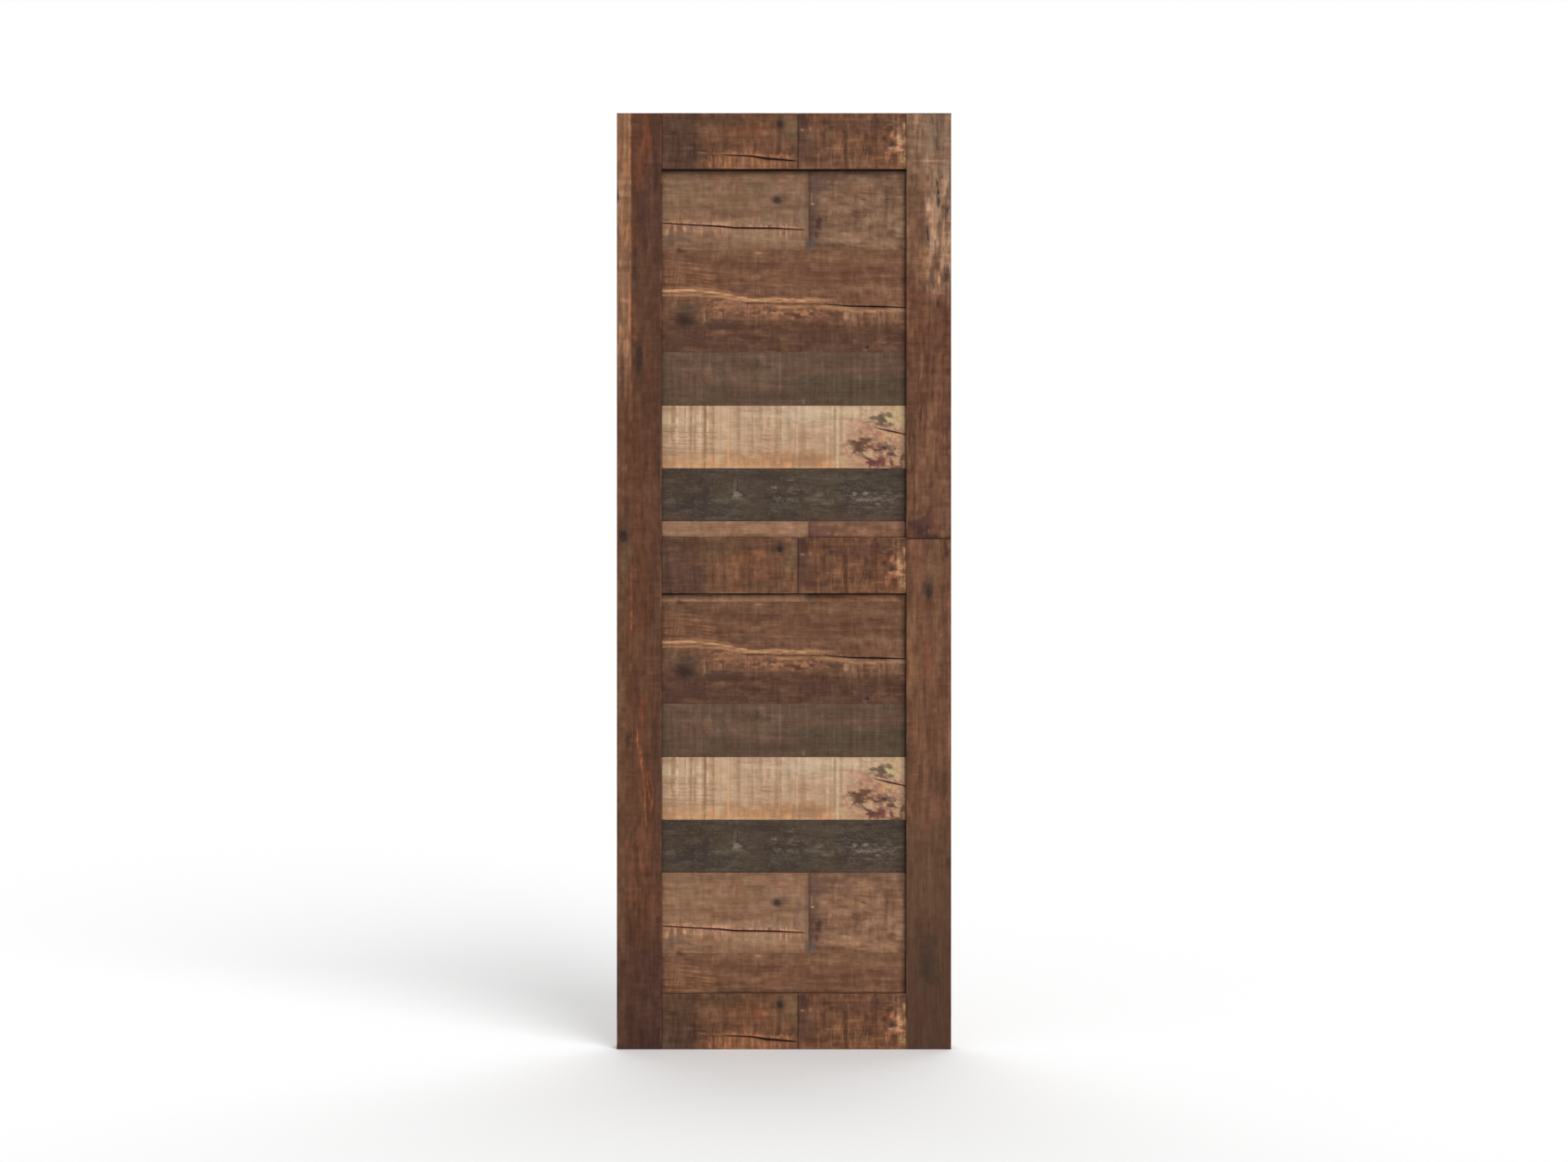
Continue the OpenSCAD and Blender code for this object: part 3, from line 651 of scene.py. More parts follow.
def torn_streak(face):
    """The light torn band of a brown board, the saw marks under it and the knot at its left."""
    band = [(-300, 93), (-211, 92), (-164, 95), (-134, 100), (-102, 108), (-71, 114), (-25, 113),
            (84, 113)]
    low = [(-160, 120), (-100, 126), (-20, 130), (60, 130), (104, 131), (135, 134), (160, 140),
           (290, 139)]
    face.bars((-285, -150), (104, 180), (146, 110, 84), 0.6, 6.0, 0.0, 20)
    face.bars((-180, 20), (122, 172), (156, 112, 84), 0.7, 5.5, 0.0, 12)
    face.bars((0, 140), (128, 158), (160, 118, 88), 0.6, 5.5, 0.05, 10)
    torn, ends = face.follow([(-190, 126), (-130, 128), (-60, 136), (20, 140), (110, 138)])
    torn = ends * between(np.abs(face.across - torn), 26, 8)
    face.blend(0.5 * torn, (134, 94, 70))
    face.blend(0.8 * torn * between(face.noise(9, 6, 2), 0.0, 0.5), (178, 126, 92))
    face.blend(0.7 * torn * between(face.noise(10, 5, 2), 0.1, 0.6), (90, 62, 50))
    face.bars((130, 285), (136, 190), (152, 116, 86), 0.8, 6.0, -0.2, 10)
    face.bars((-60, 285), (110, 80), (146, 106, 80), 0.6, 6.5, -0.05, 12)
    face.streak([(a, c + 2) for a, c in band], 14.0, (146, 103, 75), 0.85, 1.5, 0.6)
    face.streak(band, 6.0, (172, 126, 90), 0.85, 2.0, 0.9)
    face.streak([(a, c - 1.5) for a, c in band], 2.0, (200, 152, 110), 0.8, 2.4, 1.0)
    face.streak([(a, c + 7) for a, c in band[2:]], 2.4, (176, 128, 92), 0.75, 2.4, 1.0)
    face.patches(*[((place, 113 + lift), (size, 2.6), (208, 162, 122), 0.85) for place, lift, size in (
        (-262, -20, 26), (-216, -22, 22), (-172, -17, 20), (-128, -11, 16), (-96, -5, 16), (-66, 1, 18),
        (-34, 2, 22), (6, 1, 18), (38, 2, 16), (66, 0, 16), (88, 3, 12))])
    face.streak([(40, 112), (90, 113), (128, 116)], 5.0, (150, 108, 80), 0.8, 1.5, 0.8)
    face.streak([(60, 112), (112, 115)], 1.8, (186, 138, 100), 0.7, 1.5, 0.8)
    face.streak([(-300, 84), (-230, 84), (-170, 88), (-120, 97)], 2.2, (164, 118, 84), 0.7)
    face.streak([(-300, 103), (-200, 103), (-140, 107), (-90, 119)], 4.0, (168, 122, 88), 0.8)
    face.streak([(-240, 98), (-180, 100), (-130, 109), (-80, 118)], 2.4, (192, 142, 100), 0.7)
    face.streak([(-285, 98), (-225, 98), (-150, 102)], 1.7, (112, 78, 56), 0.7, 0.8)
    face.streak([(-100, 121), (-20, 121), (100, 123), (114, 123)], 1.9, (76, 50, 38), 0.9, 0.6)
    face.streak(low, 7.5, (148, 106, 78), 0.75, 1.5, 0.7)
    face.streak(low[2:], 3.6, (186, 138, 100), 0.8, 1.6, 0.9)
    face.patches(
        ((-183, 146), (4, 30), (166, 126, 98), 0.8), ((-196, 140), (4, 24), (140, 104, 80), 0.6),
        ((-130, 130), (22, 12), (158, 108, 80), 0.6), ((-82, 138), (14, 12), (160, 112, 84), 0.6),
        ((142, 148), (7, 26), (184, 144, 106), 0.8), ((158, 152), (6, 20), (160, 122, 92), 0.6),
        ((-222, 128), (22, 16), (78, 62, 50), 0.7), ((30, 152), (12, 9), (76, 48, 42), 0.7),
        ((64, 132), (26, 6), (84, 62, 52), 0.6), ((110, 146), (20, 9), (80, 58, 46), 0.6))
    face.patch((-232, 150), (44, 36), (92, 72, 58), 0.6, 0.5)
    face.knot((-229, 158), (24, 17), (50, 36, 31), (78, 56, 45), 0.9, 1.4)
    face.patches(
        ((-222, 200), (64, 24), (84, 58, 48), 0.5), ((-256, 164), (14, 7), (124, 78, 66), 0.5))
    face.knot((-236, 0), (11, 6), (70, 50, 40), (92, 66, 50), 0.8, 0.5)
    face.patch((-58, 6), (14, 4), (200, 142, 100), 0.9, 0.25)
    face.patches(
        ((-60, 7), (38, 8), (150, 108, 76), 0.45), ((-138, 172), (46, 16), (80, 56, 45), 0.75),
        ((138, 134), (28, 12), (178, 136, 102), 0.6), ((258, 134), (28, 18), (160, 122, 94), 0.6),
        ((86, 96), (26, 10), (146, 106, 80), 0.45))


def grey_face(face):
    """Grey brown, sawn across the grain, olive dark at the lower right."""
    face.tone[:] = (100, 78, 63)
    face.mottle((116, 88, 75), 0.6, (70, 20), 0.0, 0.7)
    face.mottle((84, 68, 54), 0.6, (100, 16), -0.05, 0.6)
    face.patches(
        ((-215, 52), (60, 30), (118, 86, 76), 0.7), ((-174, 46), (16, 24), (138, 108, 82), 0.6),
        ((-110, 50), (40, 24), (114, 84, 70), 0.6), ((-62, 24), (10, 16), (70, 60, 50), 0.7),
        ((-60, 66), (60, 24), (110, 88, 68), 0.5), ((-8, 40), (3, 50), (132, 98, 84), 0.6),
        ((-130, 96), (50, 12), (90, 74, 56), 0.6), ((80, 20), (60, 12), (88, 70, 56), 0.5),
        ((60, 44), (50, 10), (112, 84, 68), 0.6), ((170, 42), (60, 9), (116, 84, 70), 0.7),
        ((-20, 100), (70, 14), (84, 64, 56), 0.5), ((12, 114), (6, 10), (66, 52, 42), 0.6))
    face.zone((86, 71, 55), 0.85, along=(0, 40), across=(48, 66), ragged=6)
    face.zone((92, 74, 57), 0.6, across=(84, 110))
    face.bars(LEVEL_SPAN, (2, 150), (132, 104, 86), 0.33, 5.5, 0.05)
    face.bars(LEVEL_SPAN, (122, -20), (74, 60, 48), 0.38, 6.0)
    face.patches(
        ((45, 112), (5, 9), (140, 110, 88), 0.6), ((-200, 108), (80, 8), (112, 86, 66), 0.5))
    face.saw *= 0.65
    face.weather(0.6)


def pale_face(face):
    """Pale board: cream above, orange tan below, upright streaks and a branching knot."""
    face.tone[:] = (188, 155, 128)
    face.zone((204, 176, 138), 0.6, along=(0, 40), across=(54, 30), ragged=10)
    face.zone((182, 136, 98), 0.75, across=(74, 126), ragged=10)
    face.mottle((198, 166, 136), 0.5, (50, 16), 0.0, 0.7)
    face.mottle((170, 138, 110), 0.55, (60, 12), -0.05, 0.6)
    face.patches(
        ((-262, 40), (26, 22), (194, 174, 128), 0.6), ((-225, 52), (50, 9), (156, 126, 98), 0.6),
        ((-250, 62), (26, 4), (200, 144, 118), 0.6), ((-225, 80), (44, 5), (150, 120, 92), 0.6),
        ((-200, 96), (60, 5), (158, 124, 92), 0.5), ((-88, 50), (30, 12), (168, 142, 110), 0.5),
        ((-20, 40), (12, 34), (206, 184, 136), 0.7), ((4, 52), (9, 40), (168, 158, 124), 0.7),
        ((-46, 38), (9, 30), (200, 166, 134), 0.6), ((60, 70), (60, 18), (182, 146, 116), 0.5),
        ((40, 116), (40, 12), (172, 126, 92), 0.6), ((110, 116), (50, 12), (170, 128, 94), 0.6),
        ((-62, 34), (6, 30), (160, 140, 110), 0.5), ((70, 38), (34, 4), (160, 138, 112), 0.6))
    face.saw *= 0.6
    face.weather(0.6)
    face.bars(LEVEL_SPAN, (0, 170), (160, 126, 100), 0.65, 16.0, 0.0, 10)
    face.bars(LEVEL_SPAN, (0, 170), (214, 184, 150), 0.7, 18.0, 0.0, 10)
    face.patches(
        ((40, 26), (90, 26), (196, 174, 150), 0.7), ((-60, 20), (50, 18), (202, 176, 148), 0.6),
        ((190, 14), (80, 20), (208, 186, 152), 0.7), ((-40, 124), (170, 22), (154, 116, 84), 0.55),
        ((60, 122), (60, 18), (146, 112, 84), 0.5))
    for span, strength in (
            ((-285, -110), 0.7), ((-130, 100), 0.35), ((80, 150), 0.7), ((140, 285), 0.35)):
        face.bars(span, (0, 170), (142, 110, 86), strength, 6.5, 0.1, 10)
        face.bars(span, (0, 170), (228, 200, 164), strength, 6.0, 0.1, 10)
    face.saw[:] = 0.45
    for place, wide, tone, low in (
            (-180, 3.4, (134, 104, 78), 0), (-161, 2.4, (144, 108, 82), 0),
            (-170, 3.6, (204, 164, 124), 0), (-126, 4.0, (212, 168, 126), 30),
            (-150, 6.0, (200, 166, 128), 0), (-72, 3.0, (156, 132, 102), 20),
            (117, 3.6, (160, 134, 104), 0), (124, 3.0, (210, 190, 152), 0),
            (131, 3.4, (164, 138, 108), 0), (100, 3.0, (206, 182, 146), 0),
            (30, 2.2, (210, 178, 142), 40), (-205, 2.6, (158, 126, 98), 0)):
        line = np.abs(face.across * 0.01 + face.along - place)
        face.blend(0.85 * between(line, wide, wide * 0.4) * between(face.across, low - 8, low + 8)
                   * (0.75 + 0.4 * face.noise(900, 22, 2)), tone)
    for k, drop in enumerate((67, 77, 88, 98, 108, 118)):
        face.streak([(-60 + 3 * k, drop), (-28, drop + 1)], 2.0, (140, 106, 78), 0.7, 0.4)
    for drop in (58, 70, 84, 96, 106):
        face.streak([(-285, drop), (-230, drop + 2), (-150, drop + 4)], 1.8, (148, 116, 88), 0.6, 1.5)
    for k, drop in enumerate((62, 74, 90, 101)):
        face.streak([(10 * k, drop), (60 + 12 * k, drop + 2)], 2.0, (160, 126, 98), 0.55, 1.5)
    face.bars((-285, 150), (146, 108), (214, 158, 112), 0.7, 7.0, -0.25, 8)
    branch_knot(face)
    face.patches(
        ((150, 14), (50, 14), (206, 184, 150), 0.6), ((55, 124), (60, 16), (160, 120, 88), 0.4))


def branch_knot(face):
    """The pinkish, branching knot at the pale board's right end."""
    face.patch((222, 78), (76, 68), (172, 135, 107), 0.8, 0.3)
    face.patches(
        ((168, 38), (24, 16), (190, 148, 126), 0.7), ((258, 34), (22, 36), (200, 178, 128), 0.8),
        ((186, 60), (28, 16), (180, 132, 108), 0.7), ((250, 69), (44, 11), (208, 158, 108), 0.9),
        ((244, 50), (24, 8), (198, 146, 126), 0.7), ((250, 84), (26, 9), (186, 124, 104), 0.7),
        ((264, 112), (18, 34), (164, 124, 96), 0.7), ((194, 107), (22, 15), (196, 164, 116), 0.8),
        ((188, 128), (20, 12), (192, 134, 122), 0.7), ((222, 124), (34, 14), (198, 148, 122), 0.6),
        ((154, 90), (22, 24), (190, 150, 124), 0.6), ((140, 122), (30, 16), (198, 172, 134), 0.6),
        ((110, 90), (40, 12), (176, 140, 112), 0.5))
    swollen = np.hypot((face.along - 222) / 90, (face.across - 82) / 74)
    swollen = between(swollen + 0.25 * face.noise(30, 20), 1.15, 0.5)
    for cell, tone, strength in (
            ((9, 7), (206, 152, 130), 0.7), ((8, 10), (140, 104, 84), 0.6),
            ((10, 8), (196, 180, 134), 0.6), ((6, 9), (216, 170, 136), 0.5),
            ((7, 6), (150, 104, 92), 0.5)):
        face.blend(strength * swollen * between(face.noise(*cell, 2), 0.1, 0.7), tone)
    for at, size, tone in (
            ((168, 92), (19.2, 18.75), (96, 70, 54)), ((182, 82), (31.2, 11.25), (112, 76, 58)),
            ((198, 90), (14.4, 15), (124, 78, 62)), ((223, 32), (10.8, 20), (104, 86, 66)),
            ((212, 28), (14.4, 8.75), (120, 98, 76)), ((236, 22), (14.4, 8.75), (124, 104, 80)),
            ((222, 46), (14.4, 11.25), (124, 96, 80)), ((242, 41), (9.6, 6.25), (130, 108, 84)),
            ((226, 96), (21.6, 12.5), (84, 56, 54)), ((242, 106), (24, 12.5), (92, 72, 60)),
            ((204, 130), (14.4, 10), (104, 62, 58)), ((216, 130), (8.4, 15), (120, 74, 66)),
            ((227, 128), (6, 15), (126, 74, 66)), ((246, 130), (6, 16.25), (118, 70, 60)),
            ((252, 140), (19.2, 7.5), (112, 78, 68)), ((268, 128), (8.4, 17.5), (116, 90, 70))):
        face.patch(at, size, KNOT_ARM_SHADE * np.array(tone), 0.9, 0.6, 0.3)
    for path, wide, tone in (
            ([(180, 38), (216, 36)], 3.38, (108, 82, 68)),
            ([(198, 70), (214, 66)], 3.38, (140, 104, 84)),
            ([(170, 100), (190, 120), (208, 132)], 4.16, (100, 68, 58)),
            ([(128, 90), (168, 88)], 3.64, (146, 112, 88)),
            ([(206, 134), (250, 141)], 3.38, (120, 80, 70)),
            ([(244, 88), (268, 100)], 3.9, (140, 92, 78)),
            ([(176, 60), (184, 74)], 3.12, (150, 112, 90))):
        face.streak(path, wide, tone, 0.9, 1.2, 0.6)
    face.relief += 0.8 * face.mound((174, 90), (16, 11))
    face.relief += 0.8 * face.mound((234, 100), (18, 10))
    face.lips(PALE_CRACK, 4.0, (206, 160, 132), (196, 150, 112), 0.6)
    face.cut(PALE_CRACK, 2.0, (70, 48, 38), 0.95)


def charcoal_face(face):
    """Nearly black weathered grey, with pale flecks rubbed through."""
    face.tone[:] = (77, 65, 53)
    face.mottle((64, 54, 50), 0.7, (60, 22), -0.05, 0.6)
    face.mottle((88, 77, 65), 0.5, (30, 14), 0.0, 0.7)
    face.mottle((76, 61, 55), 0.45, (80, 26), 0.0, 0.7)
    face.patches(((0, 60), (90, 16), (62, 52, 45), 0.4), ((-220, 18), (70, 16), (64, 52, 45), 0.4))
    face.mottle((104, 93, 80), 0.4, (8, 6), 0.25, 0.9)
    face.mottle((98, 87, 74), 0.35, (24, 4.5), 0.2, 0.9)
    face.patches(
        ((-110, 62), (12, 11), (138, 127, 113), 0.8), ((-112, 36), (4, 28), (106, 96, 80), 0.6),
        ((-100, 68), (22, 3), (124, 114, 100), 0.6), ((-160, 74), (26, 3), (108, 98, 86), 0.5),
        ((-180, 60), (18, 22), (62, 54, 50), 0.7), ((-30, 70), (26, 16), (64, 54, 50), 0.6),
        ((-20, 44), (9, 6), (124, 112, 98), 0.7), ((18, 26), (16, 5), (118, 106, 94), 0.7),
        ((-18, 72), (14, 6), (116, 106, 94), 0.6), ((-264, 76), (16, 8), (108, 90, 82), 0.7),
        ((80, 60), (16, 8), (112, 98, 88), 0.6), ((160, 58), (7, 5), (128, 112, 100), 0.8),
        ((186, 56), (9, 8), (134, 120, 110), 0.8), ((96, 80), (14, 8), (106, 98, 84), 0.6),
        ((214, 82), (9, 4), (138, 128, 114), 0.7), ((200, 90), (30, 6), (108, 92, 76), 0.6),
        ((250, 20), (40, 12), (62, 54, 52), 0.5), ((-250, 108), (40, 8), (96, 80, 62), 0.5),
        ((100, 112), (60, 10), (90, 68, 56), 0.6), ((230, 112), (50, 8), (96, 66, 54), 0.7))
    face.streak([(110, 50), (200, 52), (290, 53)], 1.8, (46, 40, 36), 0.85, 0.8)
    face.streak([(70, 40), (200, 44)], 2.4, (56, 48, 42), 0.6, 1.0)
    rubbed = 0.8 * face.mound((190, 70), (80, 24))
    rubbed += 0.5 * face.mound((10, 54), (70, 28))
    rubbed += 0.5 * face.mound((-112, 64), (26, 20))
    face.blend(0.75 * rubbed * between(face.noise(12, 5), 0.0, 0.6), (136, 126, 114))
    face.speck += 0.6 + 0.9 * rubbed
    face.saw *= 0.5
    face.weather(0.65)
    face.zone((62, 50, 42), 0.5, across=(116, 121), ragged=1)


def back_face(face, tone):
    """The plain weathered back of a plank."""
    face.tone[:] = tone
    face.mottle(np.asarray(tone) * 0.78, 0.5, (150, 16))
    face.mottle(np.asarray(tone) * 1.18, 0.4, (130, 12), 0.1, 0.8)
    face.shade(0.08, (200, 16), 0.03)
    face.shade(0.04, (60, 6), 0.02)
    face.saw *= 0.4


# --- The mesh of a board -----------------------------------------------------------------

# How the ends of the grain differ from the board's own tones: darker, and a touch redder.
# The ends take their tone mostly from the back, which has no stains or marks.
END_GRAIN = (0.86, 0.83, 0.8)
FRONT_SHARE = 0.35

# What tells the patterns of a board's back from its front's
BACK_SEED = 400

# Points closer than this are welded, in metres, and steeper folds than this stay sharp
WELD_GAP = 0.00001
SHARP_ANGLE = math.radians(38)

# How a board is worn: the rounding of its ends, the wear of its edges, and how much dirt
# lies along them
PLANK_WEAR = {"ends": 0.4, "edges": 0.28, "dirt": 0.04}
FRAME_WEAR = {"ends": 0.8, "edges": 1.1, "dirt": 0.35}

# How much paler or darker a board is than the finish it is cut to: red, green and blue
BOARD_LIFT = {
    "plank_07_left": (1.17, 1.18, 1.19),
    "plank_07_right": (1.09, 1.04, 1.02),
    "plank_08": (0.96, 0.965, 0.97),
    "plank_12_left": (1.08, 1.07, 1.07),
    "plank_12_right": (1.07, 1.05, 1.04),
    "plank_13": (1.04, 1.05, 1.05),
    "front_rail_top_left": (0.97, 0.97, 0.97),
    "front_rail_top_right": (1.04, 1.05, 1.04),
    "front_rail_middle_right": (1.01, 1.0, 0.98),
    "front_rail_bottom_left": (1.02, 1.02, 1.0),
    "front_rail_bottom_right": (1.07, 1.07, 1.04),
}


def step_from(place, fine, covered):
    """The step to the next column or row: coarse inside a span that another board covers."""
    for low, high in covered:
        if low + COVER_MARGIN < place < high - COVER_MARGIN - HIDDEN_STEP:
            return HIDDEN_STEP
    return fine


class Board:
    """A board's run of mesh columns along the grain and its outline across it."""

    def __init__(self, node, upright, finish, back_tone, crack, wear):
        self.node, self.upright, self.finish, self.back_tone = node, upright, finish, back_tone
        self.crack = crack
        self.ends, self.wear, self.dirt = wear["ends"], wear["edges"], wear["dirt"]
        self.lift = BOARD_LIFT.get(node, (1.0, 1.0, 1.0))
        low, high = (np.array(corner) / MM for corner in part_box(node))
        self.plank = node.startswith("plank")
        self.front, self.back = low[1], high[1]
        self.has_tongue = self.plank and high[2] < LEAF_TOP - NEAR_LEAF_END
        self.has_groove = self.plank and low[2] > LEAF_BOTTOM + NEAR_LEAF_END
        if upright:
            self.span, self.start = (low[2], high[2]), low[0]
            self.width = high[0] - low[0]
        else:
            top = high[2] - TONGUE_LENGTH + SWELL if self.has_tongue else high[2]
            bottom = low[2] - SWELL if self.has_groove else low[2]
            self.start, self.width, self.span = top, top - bottom, (low[0], high[0])
        self.seed = sum(ord(letter) * (k + 3) for k, letter in enumerate(finish.__name__))

    def columns(self):
        """Places of the columns along the grain, finer where the face shows."""
        first, last = self.span
        stiles = ((first, -STILE_INNER), (STILE_INNER, last)) if self.plank else ()
        steps = [math.pi / 2 * k / CORNER_STEPS for k in range(CORNER_STEPS)]
        turns = [self.ends * (1 - math.cos(angle)) for angle in steps]
        places = [first + t for t in turns]
        place = first + self.ends
        while place < last - self.ends - LEAST_COLUMN_STEP:
            places.append(place)
            place += step_from(place, COLUMN_STEP, stiles)
        places.append(last - self.ends)
        places += [last - t for t in reversed(turns)]
        return np.array(places)

    def front_rows(self, along):
        """Across places of the front face's rows at each column, bent to follow a crack."""
        rails = ()
        if self.plank:
            rails = [(self.start - high, self.start - low) for low, high in RAIL_HEIGHTS]
        even, place = [], self.wear
        while place < self.width - self.wear - LEAST_ROW_STEP:
            even.append(place)
            place += step_from(place, ROW_STEP, rails)
        even = np.array(even + [self.width - self.wear])
        rows = np.repeat(even[None, :], len(along), axis=0)
        if self.crack:
            line, opening = self.crack_run(along, CRACK_END_SHARE)
            half = CRACK_HALF_WIDTH * opening
            middle = np.mean([p[1] for p in self.crack])
            pick = int(np.argmin(np.abs(even - middle)))
            knots = [even[0], even[pick - 1], even[pick], even[pick + 1], even[-1]]
            for k in range(len(along)):
                placed = [even[0], line[k] - half[k], line[k], line[k] + half[k], even[-1]]
                rows[k] = np.interp(even, knots, placed)
        return rows

    def crack_run(self, along, past):
        """A crack's place across the board and its opening; past is its opening past its ends."""
        places = [p[0] for p in self.crack]
        line = np.interp(along, places, [p[1] for p in self.crack])
        opening = np.interp(along, places, [p[2] for p in self.crack], left=past, right=past)
        return line, opening

    def crack_depth(self, along, across):
        """How deep an open crack is at each point: a V that closes towards its ends."""
        if not self.crack:
            return 0.0
        places = [p[0] for p in self.crack]
        line, opening = self.crack_run(along, 0.0)
        inside = between(along, places[0], places[0] + 12)
        inside = inside * between(along, places[-1], places[-1] - 6)
        half = CRACK_HALF_WIDTH * opening + 0.05
        wall = np.clip(1 - np.abs(across - line) / half, 0, 1)
        deep = PLANK_CRACK_DEPTH if self.plank else FRAME_CRACK_DEPTH
        return deep * inside * np.clip(opening * 1.4, 0, 1) * wall

    def rest_of_outline(self):
        """Points of the outline after the front face, from its far edge round to its near one:
        [across, depth behind the front face]. The far edge is a plank's lower edge."""
        thick = self.back - self.front
        middle, w = thick / 2, self.width
        g, t = GROOVE_THICK / 2, TONGUE_THICK / 2
        points = []
        if self.has_groove:
            points += [(w, middle - g), (w - GROOVE_DEPTH, middle - g),
                       (w - GROOVE_DEPTH, middle + g), (w, middle + g)]
        else:
            points += [(w, middle)]
        points.append((w, thick - BACK_ARRIS))
        back_rows = max(3, int(self.width / BACK_ROW_STEP))
        points += [(c, thick) for c in np.linspace(w - BACK_ARRIS, BACK_ARRIS, back_rows)]
        points.append((0, thick - BACK_ARRIS))
        if self.has_tongue:
            tip = -TONGUE_LENGTH
            points += [(0, middle + t), (tip + TONGUE_NOSE, middle + t),
                       (tip, middle + t - TONGUE_NOSE), (tip, middle - t + TONGUE_NOSE),
                       (tip + TONGUE_NOSE, middle - t), (0, middle - t)]
        else:
            points += [(0, middle)]
        return points

    def worn_edge(self, along, cell, lane, salt):
        """The rounding of a front edge at each column: how far in from the edge and how deep
        its points lie. Its radius is ragged along the grain."""
        angle = np.pi / 2 * np.arange(CORNER_STEPS) / CORNER_STEPS
        ragged = 0.55 + 0.45 * layered_noise(along / cell, along * 0 + lane, self.seed + salt)
        radius = self.wear * np.clip(ragged, 0.25, 1.0)[:, None]
        return radius * (1 - np.cos(angle)), radius * (1 - np.sin(angle))

    def surface(self):
        """Arrays over columns and outline points: along, across, depth, tone and marks."""
        along = self.columns()
        rows = self.front_rows(along)
        near_c, near_d = self.worn_edge(along, 23.0, 3.7, 5)
        far_c, far_d = self.worn_edge(along, 27.0, 8.1, 9)
        front_c = np.hstack([near_c, rows, self.width - far_c[:, ::-1]])
        front_d = np.hstack([near_d, np.zeros(rows.shape), far_d[:, ::-1]])
        rest = np.repeat(np.array(self.rest_of_outline())[None], len(along), axis=0)
        across = np.hstack([front_c, rest[..., 0], front_c[:, :1]])
        depth = np.hstack([front_d, rest[..., 1], front_d[:, :1]])
        place = np.repeat(along[:, None], across.shape[1], axis=1)

        shown = front_c.shape[1]
        face = Face(place[:, :shown], front_c, self.back_tone, self.seed)
        self.finish(face)
        face.tone = face.tone * np.array(self.lift)
        self.age(face)
        behind = Face(place, across, self.back_tone, self.seed + BACK_SEED)
        back_face(behind, self.back_tone)
        tone, saw, speck, swirl = behind.tone, behind.saw, behind.speck, behind.swirl
        tone[:, :shown], saw[:, :shown] = face.tone, face.saw
        speck[:, :shown], swirl[:, :shown] = face.speck, face.swirl
        tone[:, -1], saw[:, -1] = tone[:, 0], saw[:, 0]
        for end in (0, -1):
            mixed = FRONT_SHARE * tone[end] + (1 - FRONT_SHARE) * np.asarray(self.back_tone)
            tone[end] = mixed * np.asarray(END_GRAIN)

        gap = np.minimum(along - self.span[0], self.span[1] - along)[:, None]
        turn = np.clip(1 - gap / self.ends, 0, 1)
        rounding = self.ends * (1 - np.sqrt(np.clip(1 - turn ** 2, 0, 1)))
        worn = face.relief + self.crack_depth(place[:, :shown], front_c)
        depth[:, :shown] += np.maximum(worn, 0) + rounding
        depth[:, -1] = depth[:, 0]
        return place, across, depth, tone, np.stack([saw, speck, swirl * MM], axis=-1)

    def age(self, face):
        """Wear and dirt that every front face has: planing, raised grain, edges and ends. Planks also
        get painted shade where the front frame stands on them, and the frame's lighter worn edges are
        partly a painted highlight.
        """
        face.relief += 0.18 * (1 + face.noise(46, 60, 2))
        face.relief += 0.14 * np.clip(face.noise(110, 4.6, 2), -0.4, 1.2) + 0.05
        edge = np.minimum(face.across, self.width - face.across)
        end = np.minimum(face.along - self.span[0], self.span[1] - face.along)
        nick = between(face.noise(18, 500, 2), 0.35, 0.9)
        face.relief += 0.6 * nick * between(edge, 4.0, 0.5)
        # Lighter worn edges: real wear on every board; on the frame boards a stronger band that is wear
        # and also a painted highlight of the edges catching the light
        rubbed = between(edge, 3.4, 1.2) * between(face.noise(30, 500, 2), 0.0, 0.7)
        face.blend((0.1 if self.plank else 0.42) * rubbed, (164, 122, 94))
        face.blend(self.dirt * between(edge, 1.2, 0.2), JOINT_DIRT)
        face.blend(self.dirt * between(end, 2.0, 0.4), JOINT_DIRT)
        if self.plank:
            # Painted shade in the corners where the front frame stands on the plank
            self.fill_corners(face)
            face.relief *= self.in_the_open(face)

    def between_rails(self, face):
        """1 where no front rail lies on a plank, 0 where one does."""
        height = self.start - face.across
        mask = np.ones(height.shape)
        for low, high in RAIL_HEIGHTS:
            mask = mask * (1 - between(height, low + 1, low + 4) * between(height, high - 1, high - 4))
        return mask

    def in_the_open(self, face):
        """1 where a plank shows between the front boards, 0 where one lies flat on it."""
        return self.between_rails(face) * between(np.abs(face.along), STILE_INNER + 4, STILE_INNER + 1)

    def fill_corners(self, face):
        """Painted shade where the front frame stands on the planks: a dark line and a soft fall of
        shade under each rail, a thin line above it, and thin lines along the stiles' inner edges.
        """
        height = self.start - face.across
        for low, high in RAIL_HEIGHTS:
            below, above = low - height, height - high
            # Painted shade under each rail: a near-black line and a softer fall below it, and a thin
            # line above the rail
            face.blend(0.95 * (below > -4) * between(below, 3.4, 1.8), CORNER_SHADE)
            face.blend(0.3 * (below > -4) * between(below, 17.0, 2.0), CORNER_SHADE)
            face.blend(0.4 * (above > -4) * between(above, 2.6, 0.8), CORNER_SHADE)
        # Painted shade: thin dark lines along the stiles' inner edges
        under = between(np.abs(face.along), STILE_INNER + 9, STILE_INNER + 5)
        under = under * self.between_rails(face)
        right, left = face.along - STILE_INNER, -face.along - STILE_INNER
        face.blend(0.45 * under * between(right, -1.8, -0.8), CORNER_SHADE)
        face.blend(0.4 * under * between(left, -2.2, -0.8), CORNER_SHADE)

